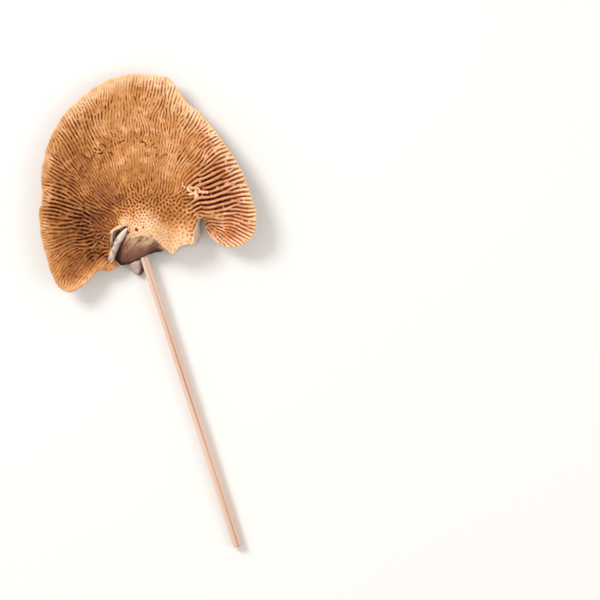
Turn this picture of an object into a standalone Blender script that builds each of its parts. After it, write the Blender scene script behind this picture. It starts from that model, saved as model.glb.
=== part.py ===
"""A dried bracket-fungus cap on a round wooden pick, lying on its back with the gills up.

Blender 4.5, metres, +Z up. The origin is under the middle of the whole thing, on the surface that it
rests on. +X runs to the right across the cap and +Y from the pick towards the top of the cap.

The cap is drawn in its own frame first, in millimetres, with x = y = 0 at the middle of the foot, where the
fungus was broken off its log. Every place on it has two coordinates: u runs along the margin, from the
inner corner of the left lobe (0) clockwise to the inner corner of the right lobe (1), and s runs along the
gills, from the edge of the foot (0) to the margin (1).
"""

import math

import bmesh
import bpy
import numpy as np

MM = 0.001

# Where the middle of the foot lies, seen from the origin, in millimetres.
FOOT_X = 0.65
FOOT_Y = 32.78

# One row for each station round the cap: the margin's x, y and height, the x, y and height of the edge
# where that gill line starts, and the direction in which it starts, in degrees from +X.
STATIONS = np.array(
    [
        (-14.3, -12.2, 8.0, -16.2, -9.2, 9.5, 225),
        (-18.4, -14.3, 8.5, -16.8, -7.6, 10.5, 222),
        (-23.3, -14.1, 9.5, -17.2, -5.8, 11.5, 216),
        (-27.7, -19.3, 11.0, -17.6, -4.2, 12.0, 210),
        (-32.2, -22.6, 12.0, -17.8, -2.9, 12.5, 204),
        (-37.6, -24.4, 12.5, -17.9, -1.5, 13.0, 198),
        (-42.2, -21.2, 12.8, -18.0, -0.4, 13.0, 192),
        (-46.0, -12.5, 13.0, -17.9, 0.8, 13.0, 186),
        (-48.7, -3.4, 13.5, -17.7, 1.9, 13.0, 180),
        (-50.4, 4.9, 13.5, -17.0, 3.3, 13.0, 170),
        (-50.7, 12.2, 13.0, -15.6, 4.4, 13.2, 158),
        (-49.9, 20.5, 12.5, -13.7, 5.3, 13.5, 148),
        (-49.8, 31.0, 11.5, -11.9, 6.2, 14.0, 134),
        (-47.7, 41.7, 10.5, -10.3, 6.2, 14.5, 112),
        (-43.5, 51.8, 9.5, -9.3, 4.1, 15.0, 90),
        (-37.6, 60.2, 8.8, -8.6, 1.8, 15.5, 84),
        (-28.5, 68.3, 8.4, -6.7, 0.8, 16.0, 92),
        (-17.4, 74.5, 8.6, -3.9, 1.6, 16.5, 98),
        (-7.3, 76.6, 9.0, -0.5, 1.3, 16.5, 94),
        (1.5, 76.2, 9.6, 2.5, 0.4, 16.5, 90),
        (8.4, 74.7, 10.2, 4.7, -1.6, 16.2, 88),
        (13.0, 70.2, 10.0, 6.5, -3.4, 16.0, 86),
        (16.6, 64.3, 9.4, 8.4, -5.0, 15.8, 84),
        (23.5, 58.3, 9.6, 10.4, -6.4, 15.5, 84),
        (29.6, 51.3, 10.6, 13.8, -3.2, 15.5, 84),
        (35.1, 43.4, 12.0, 17.9, -2.1, 15.5, 88),
        (40.2, 35.9, 13.5, 20.3, -2.1, 15.5, 98),
        (44.3, 27.6, 14.8, 20.7, 2.5, 15.2, 98),
        (47.3, 18.9, 15.5, 21.8, 7.1, 15.0, 86),
        (49.4, 10.7, 15.8, 23.0, 9.6, 14.8, 58),
        (48.0, 2.5, 15.2, 24.2, 10.2, 14.5, 14),
        (43.0, -2.5, 14.0, 24.9, 9.7, 14.0, -20),
        (37.0, -3.8, 13.0, 25.4, 9.0, 13.5, -46),
        (31.0, -1.7, 12.0, 25.6, 8.2, 13.0, -64),
        (27.3, 1.7, 11.0, 25.7, 7.4, 12.0, -82),
        (25.6, 4.5, 10.0, 25.4, 6.6, 11.0, -98),
    ]
)

# The wall under the foot's edge, by u: how far its bottom leans out in x and y, and its height there.
WALL = np.array(
    [
        (0.00, 0.2, -0.2, 3.0),
        (0.04, 1.2, -0.6, 2.8),
        (0.10, 3.2, -1.4, 2.5),
        (0.18, 4.2, -1.4, 2.2),
        (0.24, 3.4, -1.5, 2.0),
        (0.31, 2.4, -2.2, 1.4),
        (0.35, 1.0, -1.6, 1.0),
        (0.37, 0.2, -0.5, 0.8),
        (0.42, 0.0, 0.0, 0.0),
        (0.78, 0.0, 0.0, 0.0),
        (0.81, 2.6, 0.0, 0.4),
        (0.85, 0.7, 0.0, 1.2),
        (0.89, 0.0, 0.0, 2.0),
        (1.00, -0.2, 0.0, 3.0),
    ]
)

# The torn face of the foot, left to right: its upper edge and the crust below it, each as x, y and height.
TORN_FACE = np.array(
    [
        (-12.3, 1.8, 9.5, -16.4, -9.4, 5.0),
        (-10.4, 2.7, 12.5, -14.9, -10.4, 5.4),
        (-8.2, 2.2, 15.0, -13.0, -11.2, 4.8),
        (-4.4, 2.2, 15.8, -9.4, -11.0, 4.4),
        (-0.8, 1.8, 15.9, -5.4, -8.9, 5.8),
        (2.6, 0.6, 15.9, -1.0, -7.0, 8.0),
        (4.8, -1.7, 15.6, 2.4, -5.6, 9.4),
        (6.8, -4.2, 14.8, 5.2, -5.6, 10.6),
    ]
)
# The foot's hidden back: how far it lies inside the torn edge and below it, how far its base lies inside
# the crust, and how high that base is.
TORN_INSET = 4.0
TORN_SINK = 4.5
CRUST_INSET = 4.5
TORN_BASE = 0.6
# The torn face swells by this much in its middle; its rows are shares of the way down to the crust.
TORN_SWELL = 0.9
TORN_ROWS = (0.0, 0.25, 0.5, 0.75, 0.94)
TORN_COLUMNS = 28
TORN_ROUGHNESS = 0.45
CRUST_EDGE = 0.5
CRUST_THICKNESS = 1.4
# The crust's underside, as how far it runs back and how deep it is in crust thicknesses.
CRUST_UNDERSIDE = ((0.6, 1.0), (3.0, 1.6))

# The strip of pale flesh between the left lobe and the torn face: its middle line's x, y and height, and
# its half width.
STRIP = np.array(
    [
        (-9.7, 5.1, 15.2, 1.0),
        (-11.2, 3.5, 15.0, 1.3),
        (-13.1, 1.2, 14.2, 1.6),
        (-15.2, -2.2, 12.9, 1.7),
        (-16.8, -5.4, 12.6, 1.6),
        (-17.6, -8.2, 12.1, 1.5),
        (-18.0, -10.4, 11.0, 1.2),
    ]
)
STRIP_HALF_DEPTH = 3.4
STRIP_SIDES = 8
STRIP_RINGS = 14
STRIP_END = 0.5

# The lump of grey skin that is left below the crust: its middle and half sizes, and its turn about Z.
LUMP_CENTRE = (-6.9, -10.6, 2.2)
LUMP_HALF_SIZE = (4.3, 5.5, 2.8)
LUMP_TURN = math.radians(12)
LUMP_SWELLINGS = 3
LUMP_UNEVENNESS = 0.12
LUMP_SIDES = 14
LUMP_RINGS = 8

RIM_THICKNESS = 2.2
FLESH_TAPER = 4.5
MARGIN_SQUARENESS = 0.40
FOOT_STRAIGHTNESS = 0.26
MARGIN_SMOOTHING = 0.045
BELLY_END = 0.45
LIFT_POWER = 1.6
LONG_GILL = 30.0
# How fast the extra thickness at the foot falls off, and how fast the wall's lean does, as powers of 1 - s.
FLESH_FALL = 4
LEAN_FALL = 3
# How far the lobes' inner edges lift the back, as a share of the gill line, for short and for long lines.
EDGE_REACH_SHORT = 1.0
EDGE_REACH_LONG = 0.3

# The margin rolls down over its last millimetres, and further on the right lobe, whose rim also drops.
ROLL_WIDTH = 5.5
ROLL = 0.4
RIGHT_ROLL = 1.4
RIGHT_DROP = 0.7
# The right lobe's u: where its roll starts, over how much it grows, where it ends and how fast it goes.
RIGHT_START = 0.72
RIGHT_GROWTH = 0.1
RIGHT_END = 0.98
RIGHT_LOSS = 0.08

# Radial folds of the margin: height, how many run along the whole margin, and phase.
FOLDS = ((0.35, 7, 0.6), (0.25, 12, 2.1), (0.15, 19, 4.0))

# Shallow dips in the gill side: x, y, radius across and along, depth.
DIPS = ((31.4, 22.9, 8.0, 5.0, 1.8), (-32.1, 9.2, 7.0, 9.0, 1.5))

# Gills and pores: their depth, the share of it that varies, and the share of grooves that are nearly
# closed. Gills fade over the last of s before the margin, and pores over the first of s at the foot.
GILL_DEPTH = 0.9
PORE_DEPTH = 1.1
DEPTH_VARIATION = 0.25
CLOSED_SHARE = 0.08
CLOSED_DEPTH = 0.3
GILL_FADE = 0.05
PORE_FADE = 0.1
PORE_SPACES = 64
PORE_ROW = 0.07
GILL_WANDER = 0.45

# Growth zones and wrinkles of the back, which fade in over this much of s.
ZONE_HEIGHT = 0.45
ZONE_SPACING = 0.16
WRINKLE_HEIGHT = 0.12
BACK_FADE = 0.1

# The growth step on the gill side: its height, its s, its width, and where it fades in from the foot.
STEP_HEIGHT = 0.5
STEP_PLACE = 0.62
STEP_WIDTH = 0.05
STEP_FADE_START = 0.3
STEP_FADE = 0.3

# The rows of the cap's skin as (s, spaces along the row), out over the gills and back under the cap.
FACE_ROWS = (
    (0.00, 64), (0.07, 64), (0.14, 64), (0.21, 64), (0.28, 64),
    (0.36, 128), (0.44, 128), (0.52, 128),
    (0.60, 256), (0.67, 256), (0.74, 256), (0.81, 256), (0.88, 256), (0.94, 256), (0.98, 256),
)
RIM_SPACES = 256
BACK_ROWS = (
    (0.98, 128), (0.92, 128), (0.85, 128), (0.77, 128), (0.69, 128), (0.61, 128),
    (0.53, 64), (0.45, 64), (0.30, 64), (0.15, 64), (0.00, 64),
)
WALL_ROWS = (0.25, 0.50, 0.75)
WALL_ROUGHNESS = 0.4

# The pick: where its middle line leaves the foot and where it ends, its radii and how deep it goes in.
PICK_EXIT = (-2.4, -9.1, 5.0)
PICK_END = (40.5, -141.5)
PICK_RADIUS_AT_CAP = 1.9
PICK_RADIUS_AT_END = 2.4
PICK_DEPTH = 13.0
PICK_SIDES = 16
PICK_CLEARANCE = 0.3
PICK_FLOOR_GAP = 0.03
SHARP_EDGE = math.radians(40)


def clear_scene():
    for obj in list(bpy.data.objects):
        bpy.data.objects.remove(obj, do_unlink=True)


def material(name, colour, roughness):
    """A plain finish with no metal in it."""
    made = bpy.data.materials.new(name)
    made.use_nodes = True
    shader = made.node_tree.nodes["Principled BSDF"]
    shader.inputs["Base Color"].default_value = (*colour, 1.0)
    shader.inputs["Roughness"].default_value = roughness
    shader.inputs["Metallic"].default_value = 0.0
    return made


def new_object(name, mesh, finish):
    made = bpy.data.objects.new(name, mesh)
    mesh.materials.append(finish)
    bpy.context.collection.objects.link(made)
    return made


def ease(t):
    """0 below 0, 1 above 1, and the cubic 3 t^2 - 2 t^3 between."""
    t = np.clip(t, 0.0, 1.0)
    return t * t * (3.0 - 2.0 * t)


def through(places, values, at):
    """A smooth curve through values at places: each span is the cubic whose slopes at its ends are the
    mean slopes of the points on both sides."""
    slopes = np.gradient(values, places, axis=0)
    i = np.clip(np.searchsorted(places, at, side="right") - 1, 0, len(places) - 2)
    width = (places[i + 1] - places[i])[:, None]
    t = (at - places[i])[:, None] / width
    return (
        (2 * t**3 - 3 * t**2 + 1) * values[i]
        + (t**3 - 2 * t**2 + t) * width * slopes[i]
        + (3 * t**2 - 2 * t**3) * values[i + 1]
        + (t**3 - t**2) * width * slopes[i + 1]
    )


def station_places():
    """The u of each station: its distance along the margin, as a share of the whole margin."""
    steps = np.hypot(*np.diff(STATIONS[:, :2], axis=0).T)
    distance = np.concatenate([[0.0], np.cumsum(steps)])
    return distance / distance[-1]


PLACES = station_places()


def plan(u, s):
    """x and y of each (u, s), seen from above, and the length of each gill line.

    A gill line is a cubic Bezier. It leaves the foot's edge in that station's direction and meets the
    margin at a right angle, so the lines fan out from the foot as the gills do."""
    row = through(PLACES, STATIONS, u)
    margin = row[:, 0:2]
    edge = row[:, 3:5]
    ahead = through(PLACES, STATIONS, np.clip(u + MARGIN_SMOOTHING, 0, 1))[:, 0:2]
    behind = through(PLACES, STATIONS, np.clip(u - MARGIN_SMOOTHING, 0, 1))[:, 0:2]
    tangent = (ahead - behind) / np.linalg.norm(ahead - behind, axis=1)[:, None]
    inward = np.stack([tangent[:, 1], -tangent[:, 0]], axis=1)
    angle = np.radians(row[:, 6])
    start = np.stack([np.cos(angle), np.sin(angle)], axis=1)
    length = np.linalg.norm(margin - edge, axis=1)[:, None]
    near_foot = edge + start * length * FOOT_STRAIGHTNESS
    near_margin = margin + inward * length * MARGIN_SQUARENESS
    s = np.broadcast_to(s, u.shape)[:, None]
    xy = (
        (1 - s) ** 3 * edge
        + 3 * (1 - s) ** 2 * s * near_foot
        + 3 * (1 - s) * s**2 * near_margin
        + s**3 * margin
    )
    return xy, length[:, 0]


def waves(u, s):
    """Low radial folds that grow towards the margin: sine waves along u, times s cubed."""
    return s**3 * sum(height * np.sin(2 * math.pi * count * u + phase) for height, count, phase in FOLDS)


def back_height(u, s, length):
    """Height of the cap's back. It is 0 on the flat belly, rises to the margin as a power of the distance
    past the belly, and rises a little at the lobes' inner edges."""
    margin_height = through(PLACES, STATIONS[:, 2:3], u)[:, 0]
    floor = np.interp(u, WALL[:, 0], WALL[:, 3])
    long = ease(length / LONG_GILL)
    begin = BELLY_END * long
    lift = (margin_height - RIM_THICKNESS / 2) * (np.clip(s - begin, 0, 1) / (1 - begin)) ** LIFT_POWER
    reach = EDGE_REACH_SHORT + (EDGE_REACH_LONG - EDGE_REACH_SHORT) * long
    near_edge = np.clip(1 - s / reach, 0, 1) ** 2
    return lift + floor * near_edge + np.where(s > begin, waves(u, s), 0.0)


def thickness(u, s):
    """Flesh and gills together: thick at the foot, falling fast at first and then evenly to the rim."""
    edge_height = through(PLACES, STATIONS[:, 5:6], u)[:, 0]
    floor = np.interp(u, WALL[:, 0], WALL[:, 3])
    at_foot = edge_height - floor - RIM_THICKNESS - FLESH_TAPER
    return RIM_THICKNESS + FLESH_TAPER * (1 - s) + at_foot * (1 - s) ** FLESH_FALL


def right_lobe(u):
    """1 on the right lobe, eased to 0 on both sides of it."""
    return ease((u - RIGHT_START) / RIGHT_GROWTH) * ease((RIGHT_END - u) / RIGHT_LOSS)


def face_height(u, s, xy, length):
    """Height of the gill side: the back's height and the flesh, less the dips, the growth step and the
    margin that rolls down, most of all on the right lobe."""
    height = back_height(u, s, length) + thickness(u, s)
    for x, y, across, along, depth in DIPS:
        height -= depth * np.exp(-(((xy[:, 0] - x) / across) ** 2) - ((xy[:, 1] - y) / along) ** 2)
    step = ease((STEP_PLACE - s) / STEP_WIDTH) * ease((s - STEP_FADE_START) / STEP_FADE)
    step *= ease(length / LONG_GILL)
    roll = ROLL + RIGHT_ROLL * right_lobe(u)
    to_margin = (1 - s) * length
    return height + STEP_HEIGHT * step - roll * np.clip(1 - to_margin / ROLL_WIDTH, 0, 1) ** 2


def gill_relief(u, s, spaces, rng):
    """Depth below the gill side of each point of a row. Every second point is the floor of a groove, and
    near the foot, where the rows shift by one point each, those floors are separate pores."""
    column = np.arange(len(u))
    varied = 1 - DEPTH_VARIATION * rng.random(len(u))
    if spaces > PORE_SPACES:
        closed = rng.random(len(u)) < CLOSED_SHARE
        fade = ease((1.0 - s) / GILL_FADE)
        return np.where(closed, CLOSED_DEPTH, 1.0) * GILL_DEPTH * fade * varied * (column % 2)
    shifted = (column + round(s / PORE_ROW)) % 2
    return PORE_DEPTH * ease(s / PORE_FADE) * varied * shifted


def face_row(s, spaces, rng):
    """Points of one row of the gill side. Inner points shift sideways a little, so that gills wander."""
    u = np.linspace(0, 1, spaces + 1)
    u[1:-1] += (rng.random(spaces - 1) - 0.5) * GILL_WANDER / spaces
    xy, length = plan(u, s)
    relief = gill_relief(u, s, spaces, rng)
    relief[[0, -1]] = 0.0
    return np.column_stack([xy, face_height(u, s, xy, length) - relief])


def rim_row():
    u = np.linspace(0, 1, RIM_SPACES + 1)
    xy, _ = plan(u, 1.0)
    height = through(PLACES, STATIONS[:, 2:3], u)[:, 0] + waves(u, 1.0) - RIGHT_DROP * right_lobe(u)
    return np.column_stack([xy, height])


def back_row(s, spaces):
    """Points of one row of the back. Under the foot it follows the bottom of the wall, which leans out.
    Outside the belly, low ridges follow the growth zones and finer wrinkles run across them."""
    u = np.linspace(0, 1, spaces + 1)
    xy, length = plan(u, s)
    lean = np.column_stack([np.interp(u, WALL[:, 0], WALL[:, k]) for k in (1, 2)])
    xy = xy + lean * (1 - s) ** LEAN_FALL
    height = back_height(u, s, length)
    outside_belly = ease((s - BELLY_END) / BACK_FADE) * ease((1 - s) / BACK_FADE)
    zone = ZONE_HEIGHT * math.sin(2 * math.pi * s / ZONE_SPACING)
    wrinkle = WRINKLE_HEIGHT * np.where(np.arange(spaces + 1) % 2, 1.0, -1.0)
    relief = (zone + wrinkle) * outside_belly * ease(length / LONG_GILL)
    return np.column_stack([xy, np.maximum(height + relief, 0.0)])


def wall_row(top, bottom, share, rng):
    """A row of the wall between the foot's edge and the back: a straight slope, roughened a little."""
    row = bottom + (top - bottom) * share
    rough = (rng.random((len(row), 2)) - 0.5) * WALL_ROUGHNESS
    rough[[0, -1]] = 0.0
    row[:, :2] += rough
    return row


def strips(first, second):
    """Faces between two rows, as lists of point numbers. A row may have twice the spaces of the other."""
    a = len(first) - 1
    b = len(second) - 1
    faces = []
    if a == b:
        for i in range(a):
            faces.append((first[i], first[i + 1], second[i + 1], second[i]))
    elif b == 2 * a:
        for i in range(a):
            faces.append((first[i], second[2 * i + 1], second[2 * i]))
            faces.append((first[i], first[i + 1], second[2 * i + 1]))
            faces.append((first[i + 1], second[2 * i + 2], second[2 * i + 1]))
    else:
        for i in range(b):
            faces.append((second[i], first[2 * i], first[2 * i + 1]))
            faces.append((second[i], first[2 * i + 1], second[i + 1]))
            faces.append((second[i + 1], first[2 * i + 1], first[2 * i + 2]))
    return faces


def finish_mesh(name, points, faces):
    """A closed mesh in metres from points in millimetres about the foot, with its faces pointing out."""
    mesh = bpy.data.meshes.new(name)
    mesh.from_pydata([tuple(p) for p in np.asarray(points) * MM], [], faces)
    work = bmesh.new()
    work.from_mesh(mesh)
    bmesh.ops.triangulate(work, faces=work.faces[:])
    bmesh.ops.recalc_face_normals(work, faces=work.faces[:])
    work.to_mesh(mesh)
    work.free()
    return mesh


def cap_mesh():
    """The cap as one ring of rows: over the gill side, round the rim, under the back and up the wall of
    the foot. The two inner corners of the lobes are closed by a face each."""
    rng = np.random.default_rng(11)
    rows = [face_row(s, spaces, rng) for s, spaces in FACE_ROWS]
    rows.append(rim_row())
    rows += [back_row(s, spaces) for s, spaces in BACK_ROWS]
    edge, bottom = rows[0], rows[-1]
    rows += [wall_row(edge, bottom, share, rng) for share in WALL_ROWS]
    numbers = []
    count = 0
    for row in rows:
        numbers.append(list(range(count, count + len(row))))
        count += len(row)
    faces = []
    for first, second in zip(numbers, numbers[1:] + numbers[:1]):
        faces += strips(first, second)
    faces.append(tuple(row[0] for row in numbers))
    faces.append(tuple(row[-1] for row in reversed(numbers)))
    return finish_mesh("mushroom_cap", np.concatenate(rows), faces)


def foot_mesh():
    """The broken foot: a section carried from left to right. It starts inside the flesh, slopes down the
    torn face to the crust, turns under the crust and runs back inside along the belly."""
    rng = np.random.default_rng(5)
    at = np.linspace(0, 1, TORN_COLUMNS)
    rows = through(np.linspace(0, 1, len(TORN_FACE)), TORN_FACE, at)
    top = rows[:, 0:3]
    crust = rows[:, 3:6]
    out = (crust - top)[:, :2]
    out /= np.linalg.norm(out, axis=1)[:, None]
    fibre = TORN_ROUGHNESS * (np.arange(TORN_COLUMNS) % 2 - 0.5)
    base = np.full(TORN_COLUMNS, TORN_BASE)
    section = [np.column_stack([top[:, :2] - out * TORN_INSET, top[:, 2] - TORN_SINK])]
    for share in TORN_ROWS:
        middle = math.sin(math.pi * share)
        point = top + (crust - top) * share
        point[:, 2] += (TORN_SWELL + 2 * fibre) * middle
        point[:, 2] += (rng.random(TORN_COLUMNS) - 0.5) * TORN_ROUGHNESS
        section.append(point)
    section.append(np.column_stack([crust[:, :2], crust[:, 2] - CRUST_EDGE + fibre]))
    for back, deep in CRUST_UNDERSIDE:
        section.append(np.column_stack([crust[:, :2] - out * back, crust[:, 2] - CRUST_THICKNESS * deep]))
    section.append(np.column_stack([crust[:, :2] - out * CRUST_INSET, base]))
    section.append(np.column_stack([top[:, :2] - out * TORN_INSET, base]))
    numbers = [list(range(k * TORN_COLUMNS, (k + 1) * TORN_COLUMNS)) for k in range(len(section))]
    faces = []
    for first, second in zip(numbers, numbers[1:] + numbers[:1]):
        faces += strips(first, second)
    faces.append(tuple(row[0] for row in numbers))
    faces.append(tuple(row[-1] for row in reversed(numbers)))
    return finish_mesh("torn_foot", np.concatenate(section), faces)


def strip_mesh():
    """The pale strip: an upright oval section carried along its middle line, smaller at both ends."""
    at = np.linspace(0, 1, STRIP_RINGS)
    path = through(np.linspace(0, 1, len(STRIP)), STRIP, at)
    ahead = np.gradient(path[:, :2], axis=0)
    ahead /= np.linalg.norm(ahead, axis=1)[:, None]
    size = np.ones(STRIP_RINGS)
    size[[0, -1]] = STRIP_END
    around = np.arange(STRIP_SIDES) * 2 * math.pi / STRIP_SIDES
    side = np.outer(path[:, 3] * size, np.cos(around))
    rise = STRIP_HALF_DEPTH * np.outer(size, np.sin(around) - 1)
    points = np.empty((STRIP_RINGS, STRIP_SIDES, 3))
    points[..., 0] = path[:, 0:1] + ahead[:, 1:2] * side
    points[..., 1] = path[:, 1:2] - ahead[:, 0:1] * side
    points[..., 2] = path[:, 2:3] + rise
    rings = [list(range(k * STRIP_SIDES, (k + 1) * STRIP_SIDES)) for k in range(STRIP_RINGS)]
    faces = [tuple(rings[0]), tuple(reversed(rings[-1]))]
    for first, second in zip(rings, rings[1:]):
        faces += strips(first + first[:1], second + second[:1])
    return finish_mesh("foot_strip", points.reshape(-1, 3), faces)


def lump_mesh():
    """A flat-bottomed lump: a ball whose girth swells and shrinks three times round, stretched to its
    half sizes, turned, and cut level with the belly."""
    mesh = bpy.data.meshes.new("skin_lump")
    work = bmesh.new()
    bmesh.ops.create_uvsphere(work, u_segments=LUMP_SIDES, v_segments=LUMP_RINGS, radius=1.0)
    for vert in work.verts:
        girth = 1.0 + LUMP_UNEVENNESS * math.sin(LUMP_SWELLINGS * math.atan2(vert.co.y, vert.co.x))
        x = vert.co.x * LUMP_HALF_SIZE[0] * girth
        y = vert.co.y * LUMP_HALF_SIZE[1] * girth
        vert.co.x = (LUMP_CENTRE[0] + x * math.cos(LUMP_TURN) - y * math.sin(LUMP_TURN)) * MM
        vert.co.y = (LUMP_CENTRE[1] + x * math.sin(LUMP_TURN) + y * math.cos(LUMP_TURN)) * MM
        vert.co.z = (LUMP_CENTRE[2] + vert.co.z * LUMP_HALF_SIZE[2]) * MM
    cut = bmesh.ops.bisect_plane(
        work,
        geom=work.verts[:] + work.edges[:] + work.faces[:],
        plane_co=(0, 0, 0),
        plane_no=(0, 0, -1),
        clear_outer=True,
    )
    edges = [part for part in cut["geom_cut"] if isinstance(part, bmesh.types.BMEdge)]
    bmesh.ops.edgeloop_fill(work, edges=edges)
    bmesh.ops.triangulate(work, faces=work.faces[:])
    bmesh.ops.recalc_face_normals(work, faces=work.faces[:])
    work.to_mesh(mesh)
    work.free()
    return mesh


def pick_line():
    """The pick's two end points in millimetres about the foot, and the unit vector from cap to end."""
    leave = np.array(PICK_EXIT)
    end = np.array([*PICK_END, PICK_RADIUS_AT_END + PICK_FLOOR_GAP])
    along = (end - leave) / np.linalg.norm(end - leave)
    return leave - along * PICK_DEPTH, end, along


def pick_object(name, grow, extra, finish):
    """The pick, or with grow and extra a wider and longer copy of it that cuts its socket. It is a
    tapered cylinder, turned so that its wide end is the far one."""
    inner, end, along = pick_line()
    inner = inner - along * extra
    length = float(np.linalg.norm(end - inner))
    mesh = bpy.data.meshes.new(name)
    work = bmesh.new()
    bmesh.ops.create_cone(
        work,
        cap_ends=True,
        segments=PICK_SIDES,
        radius1=(PICK_RADIUS_AT_CAP + grow) * MM,
        radius2=(PICK_RADIUS_AT_END + grow) * MM,
        depth=length * MM,
    )
    work.to_mesh(mesh)
    work.free()
    made = new_object(name, mesh, finish)
    middle = (inner + end) / 2
    made.location = ((FOOT_X + middle[0]) * MM, (FOOT_Y + middle[1]) * MM, middle[2] * MM)
    tilt = math.acos(along[2])
    made.rotation_euler = (0.0, tilt, math.atan2(along[1], along[0]))
    return made


def boolean(target, operation, other):
    """Joins or cuts with a helper object, which stays out of renders."""
    modifier = target.modifiers.new(operation.lower() + "_" + other.name, "BOOLEAN")
    modifier.operation = operation
    modifier.object = other
    other.hide_render = True
    other.display_type = "WIRE"


def main():
    clear_scene()
    fungus = material("dried_fungus", (0.58, 0.31, 0.12), 0.85)
    torn = material("torn_fungus", (0.24, 0.15, 0.09), 0.9)
    wood = material("pale_wood", (0.80, 0.60, 0.45), 0.6)
    place = (FOOT_X * MM, FOOT_Y * MM, 0.0)
    cap = new_object("mushroom_cap", cap_mesh(), fungus)
    foot = new_object("torn_foot_helper", foot_mesh(), torn)
    strip = new_object("foot_strip_helper", strip_mesh(), fungus)
    lump = new_object("skin_lump_helper", lump_mesh(), torn)
    for part in (cap, foot, strip, lump):
        part.location = place
    socket = pick_object("socket_helper", PICK_CLEARANCE, PICK_CLEARANCE, torn)
    boolean(cap, "UNION", foot)
    boolean(cap, "UNION", strip)
    boolean(cap, "UNION", lump)
    boolean(cap, "DIFFERENCE", socket)
    pick = pick_object("wooden_pick", 0.0, 0.0, wood)
    pick.data.shade_smooth()
    pick.data.set_sharp_from_angle(angle=SHARP_EDGE)


main()
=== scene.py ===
"""Looks of a dried bracket-fungus cap on a round wooden pick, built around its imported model.

The cap lies on its back with the gills up. Its skin is worked out in millimetres about the middle of the
foot, where it was broken off its log, with two coordinates: u runs along the margin, from the inner corner
of the left lobe (0) clockwise to the inner corner of the right lobe (1), and s runs along the gills, from
the edge of the foot (0) to the margin (1). The gills and pores are a relief on that skin.
"""

import math

import bpy
import numpy as np
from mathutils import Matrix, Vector

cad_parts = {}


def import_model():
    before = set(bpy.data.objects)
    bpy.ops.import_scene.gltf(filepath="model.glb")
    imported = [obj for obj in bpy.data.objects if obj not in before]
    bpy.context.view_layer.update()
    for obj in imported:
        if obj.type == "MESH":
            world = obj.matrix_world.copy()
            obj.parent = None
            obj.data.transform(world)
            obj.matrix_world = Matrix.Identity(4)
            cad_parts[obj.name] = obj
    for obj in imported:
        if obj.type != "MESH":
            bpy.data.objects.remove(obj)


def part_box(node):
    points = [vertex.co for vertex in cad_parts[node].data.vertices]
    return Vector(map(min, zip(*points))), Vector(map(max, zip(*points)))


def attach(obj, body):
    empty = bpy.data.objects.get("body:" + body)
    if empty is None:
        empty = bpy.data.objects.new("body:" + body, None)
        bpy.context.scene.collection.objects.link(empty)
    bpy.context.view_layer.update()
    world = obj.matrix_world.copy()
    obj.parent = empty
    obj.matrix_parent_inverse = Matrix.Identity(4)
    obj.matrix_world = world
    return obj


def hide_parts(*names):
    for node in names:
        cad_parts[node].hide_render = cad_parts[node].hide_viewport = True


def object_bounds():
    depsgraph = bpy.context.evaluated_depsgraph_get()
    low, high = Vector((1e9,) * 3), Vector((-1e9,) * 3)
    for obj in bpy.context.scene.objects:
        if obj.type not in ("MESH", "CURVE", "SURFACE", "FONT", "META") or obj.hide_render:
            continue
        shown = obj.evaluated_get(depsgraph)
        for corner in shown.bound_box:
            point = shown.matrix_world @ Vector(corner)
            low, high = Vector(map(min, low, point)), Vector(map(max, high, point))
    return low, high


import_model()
CAD_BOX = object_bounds()

MM = 0.001

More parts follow.
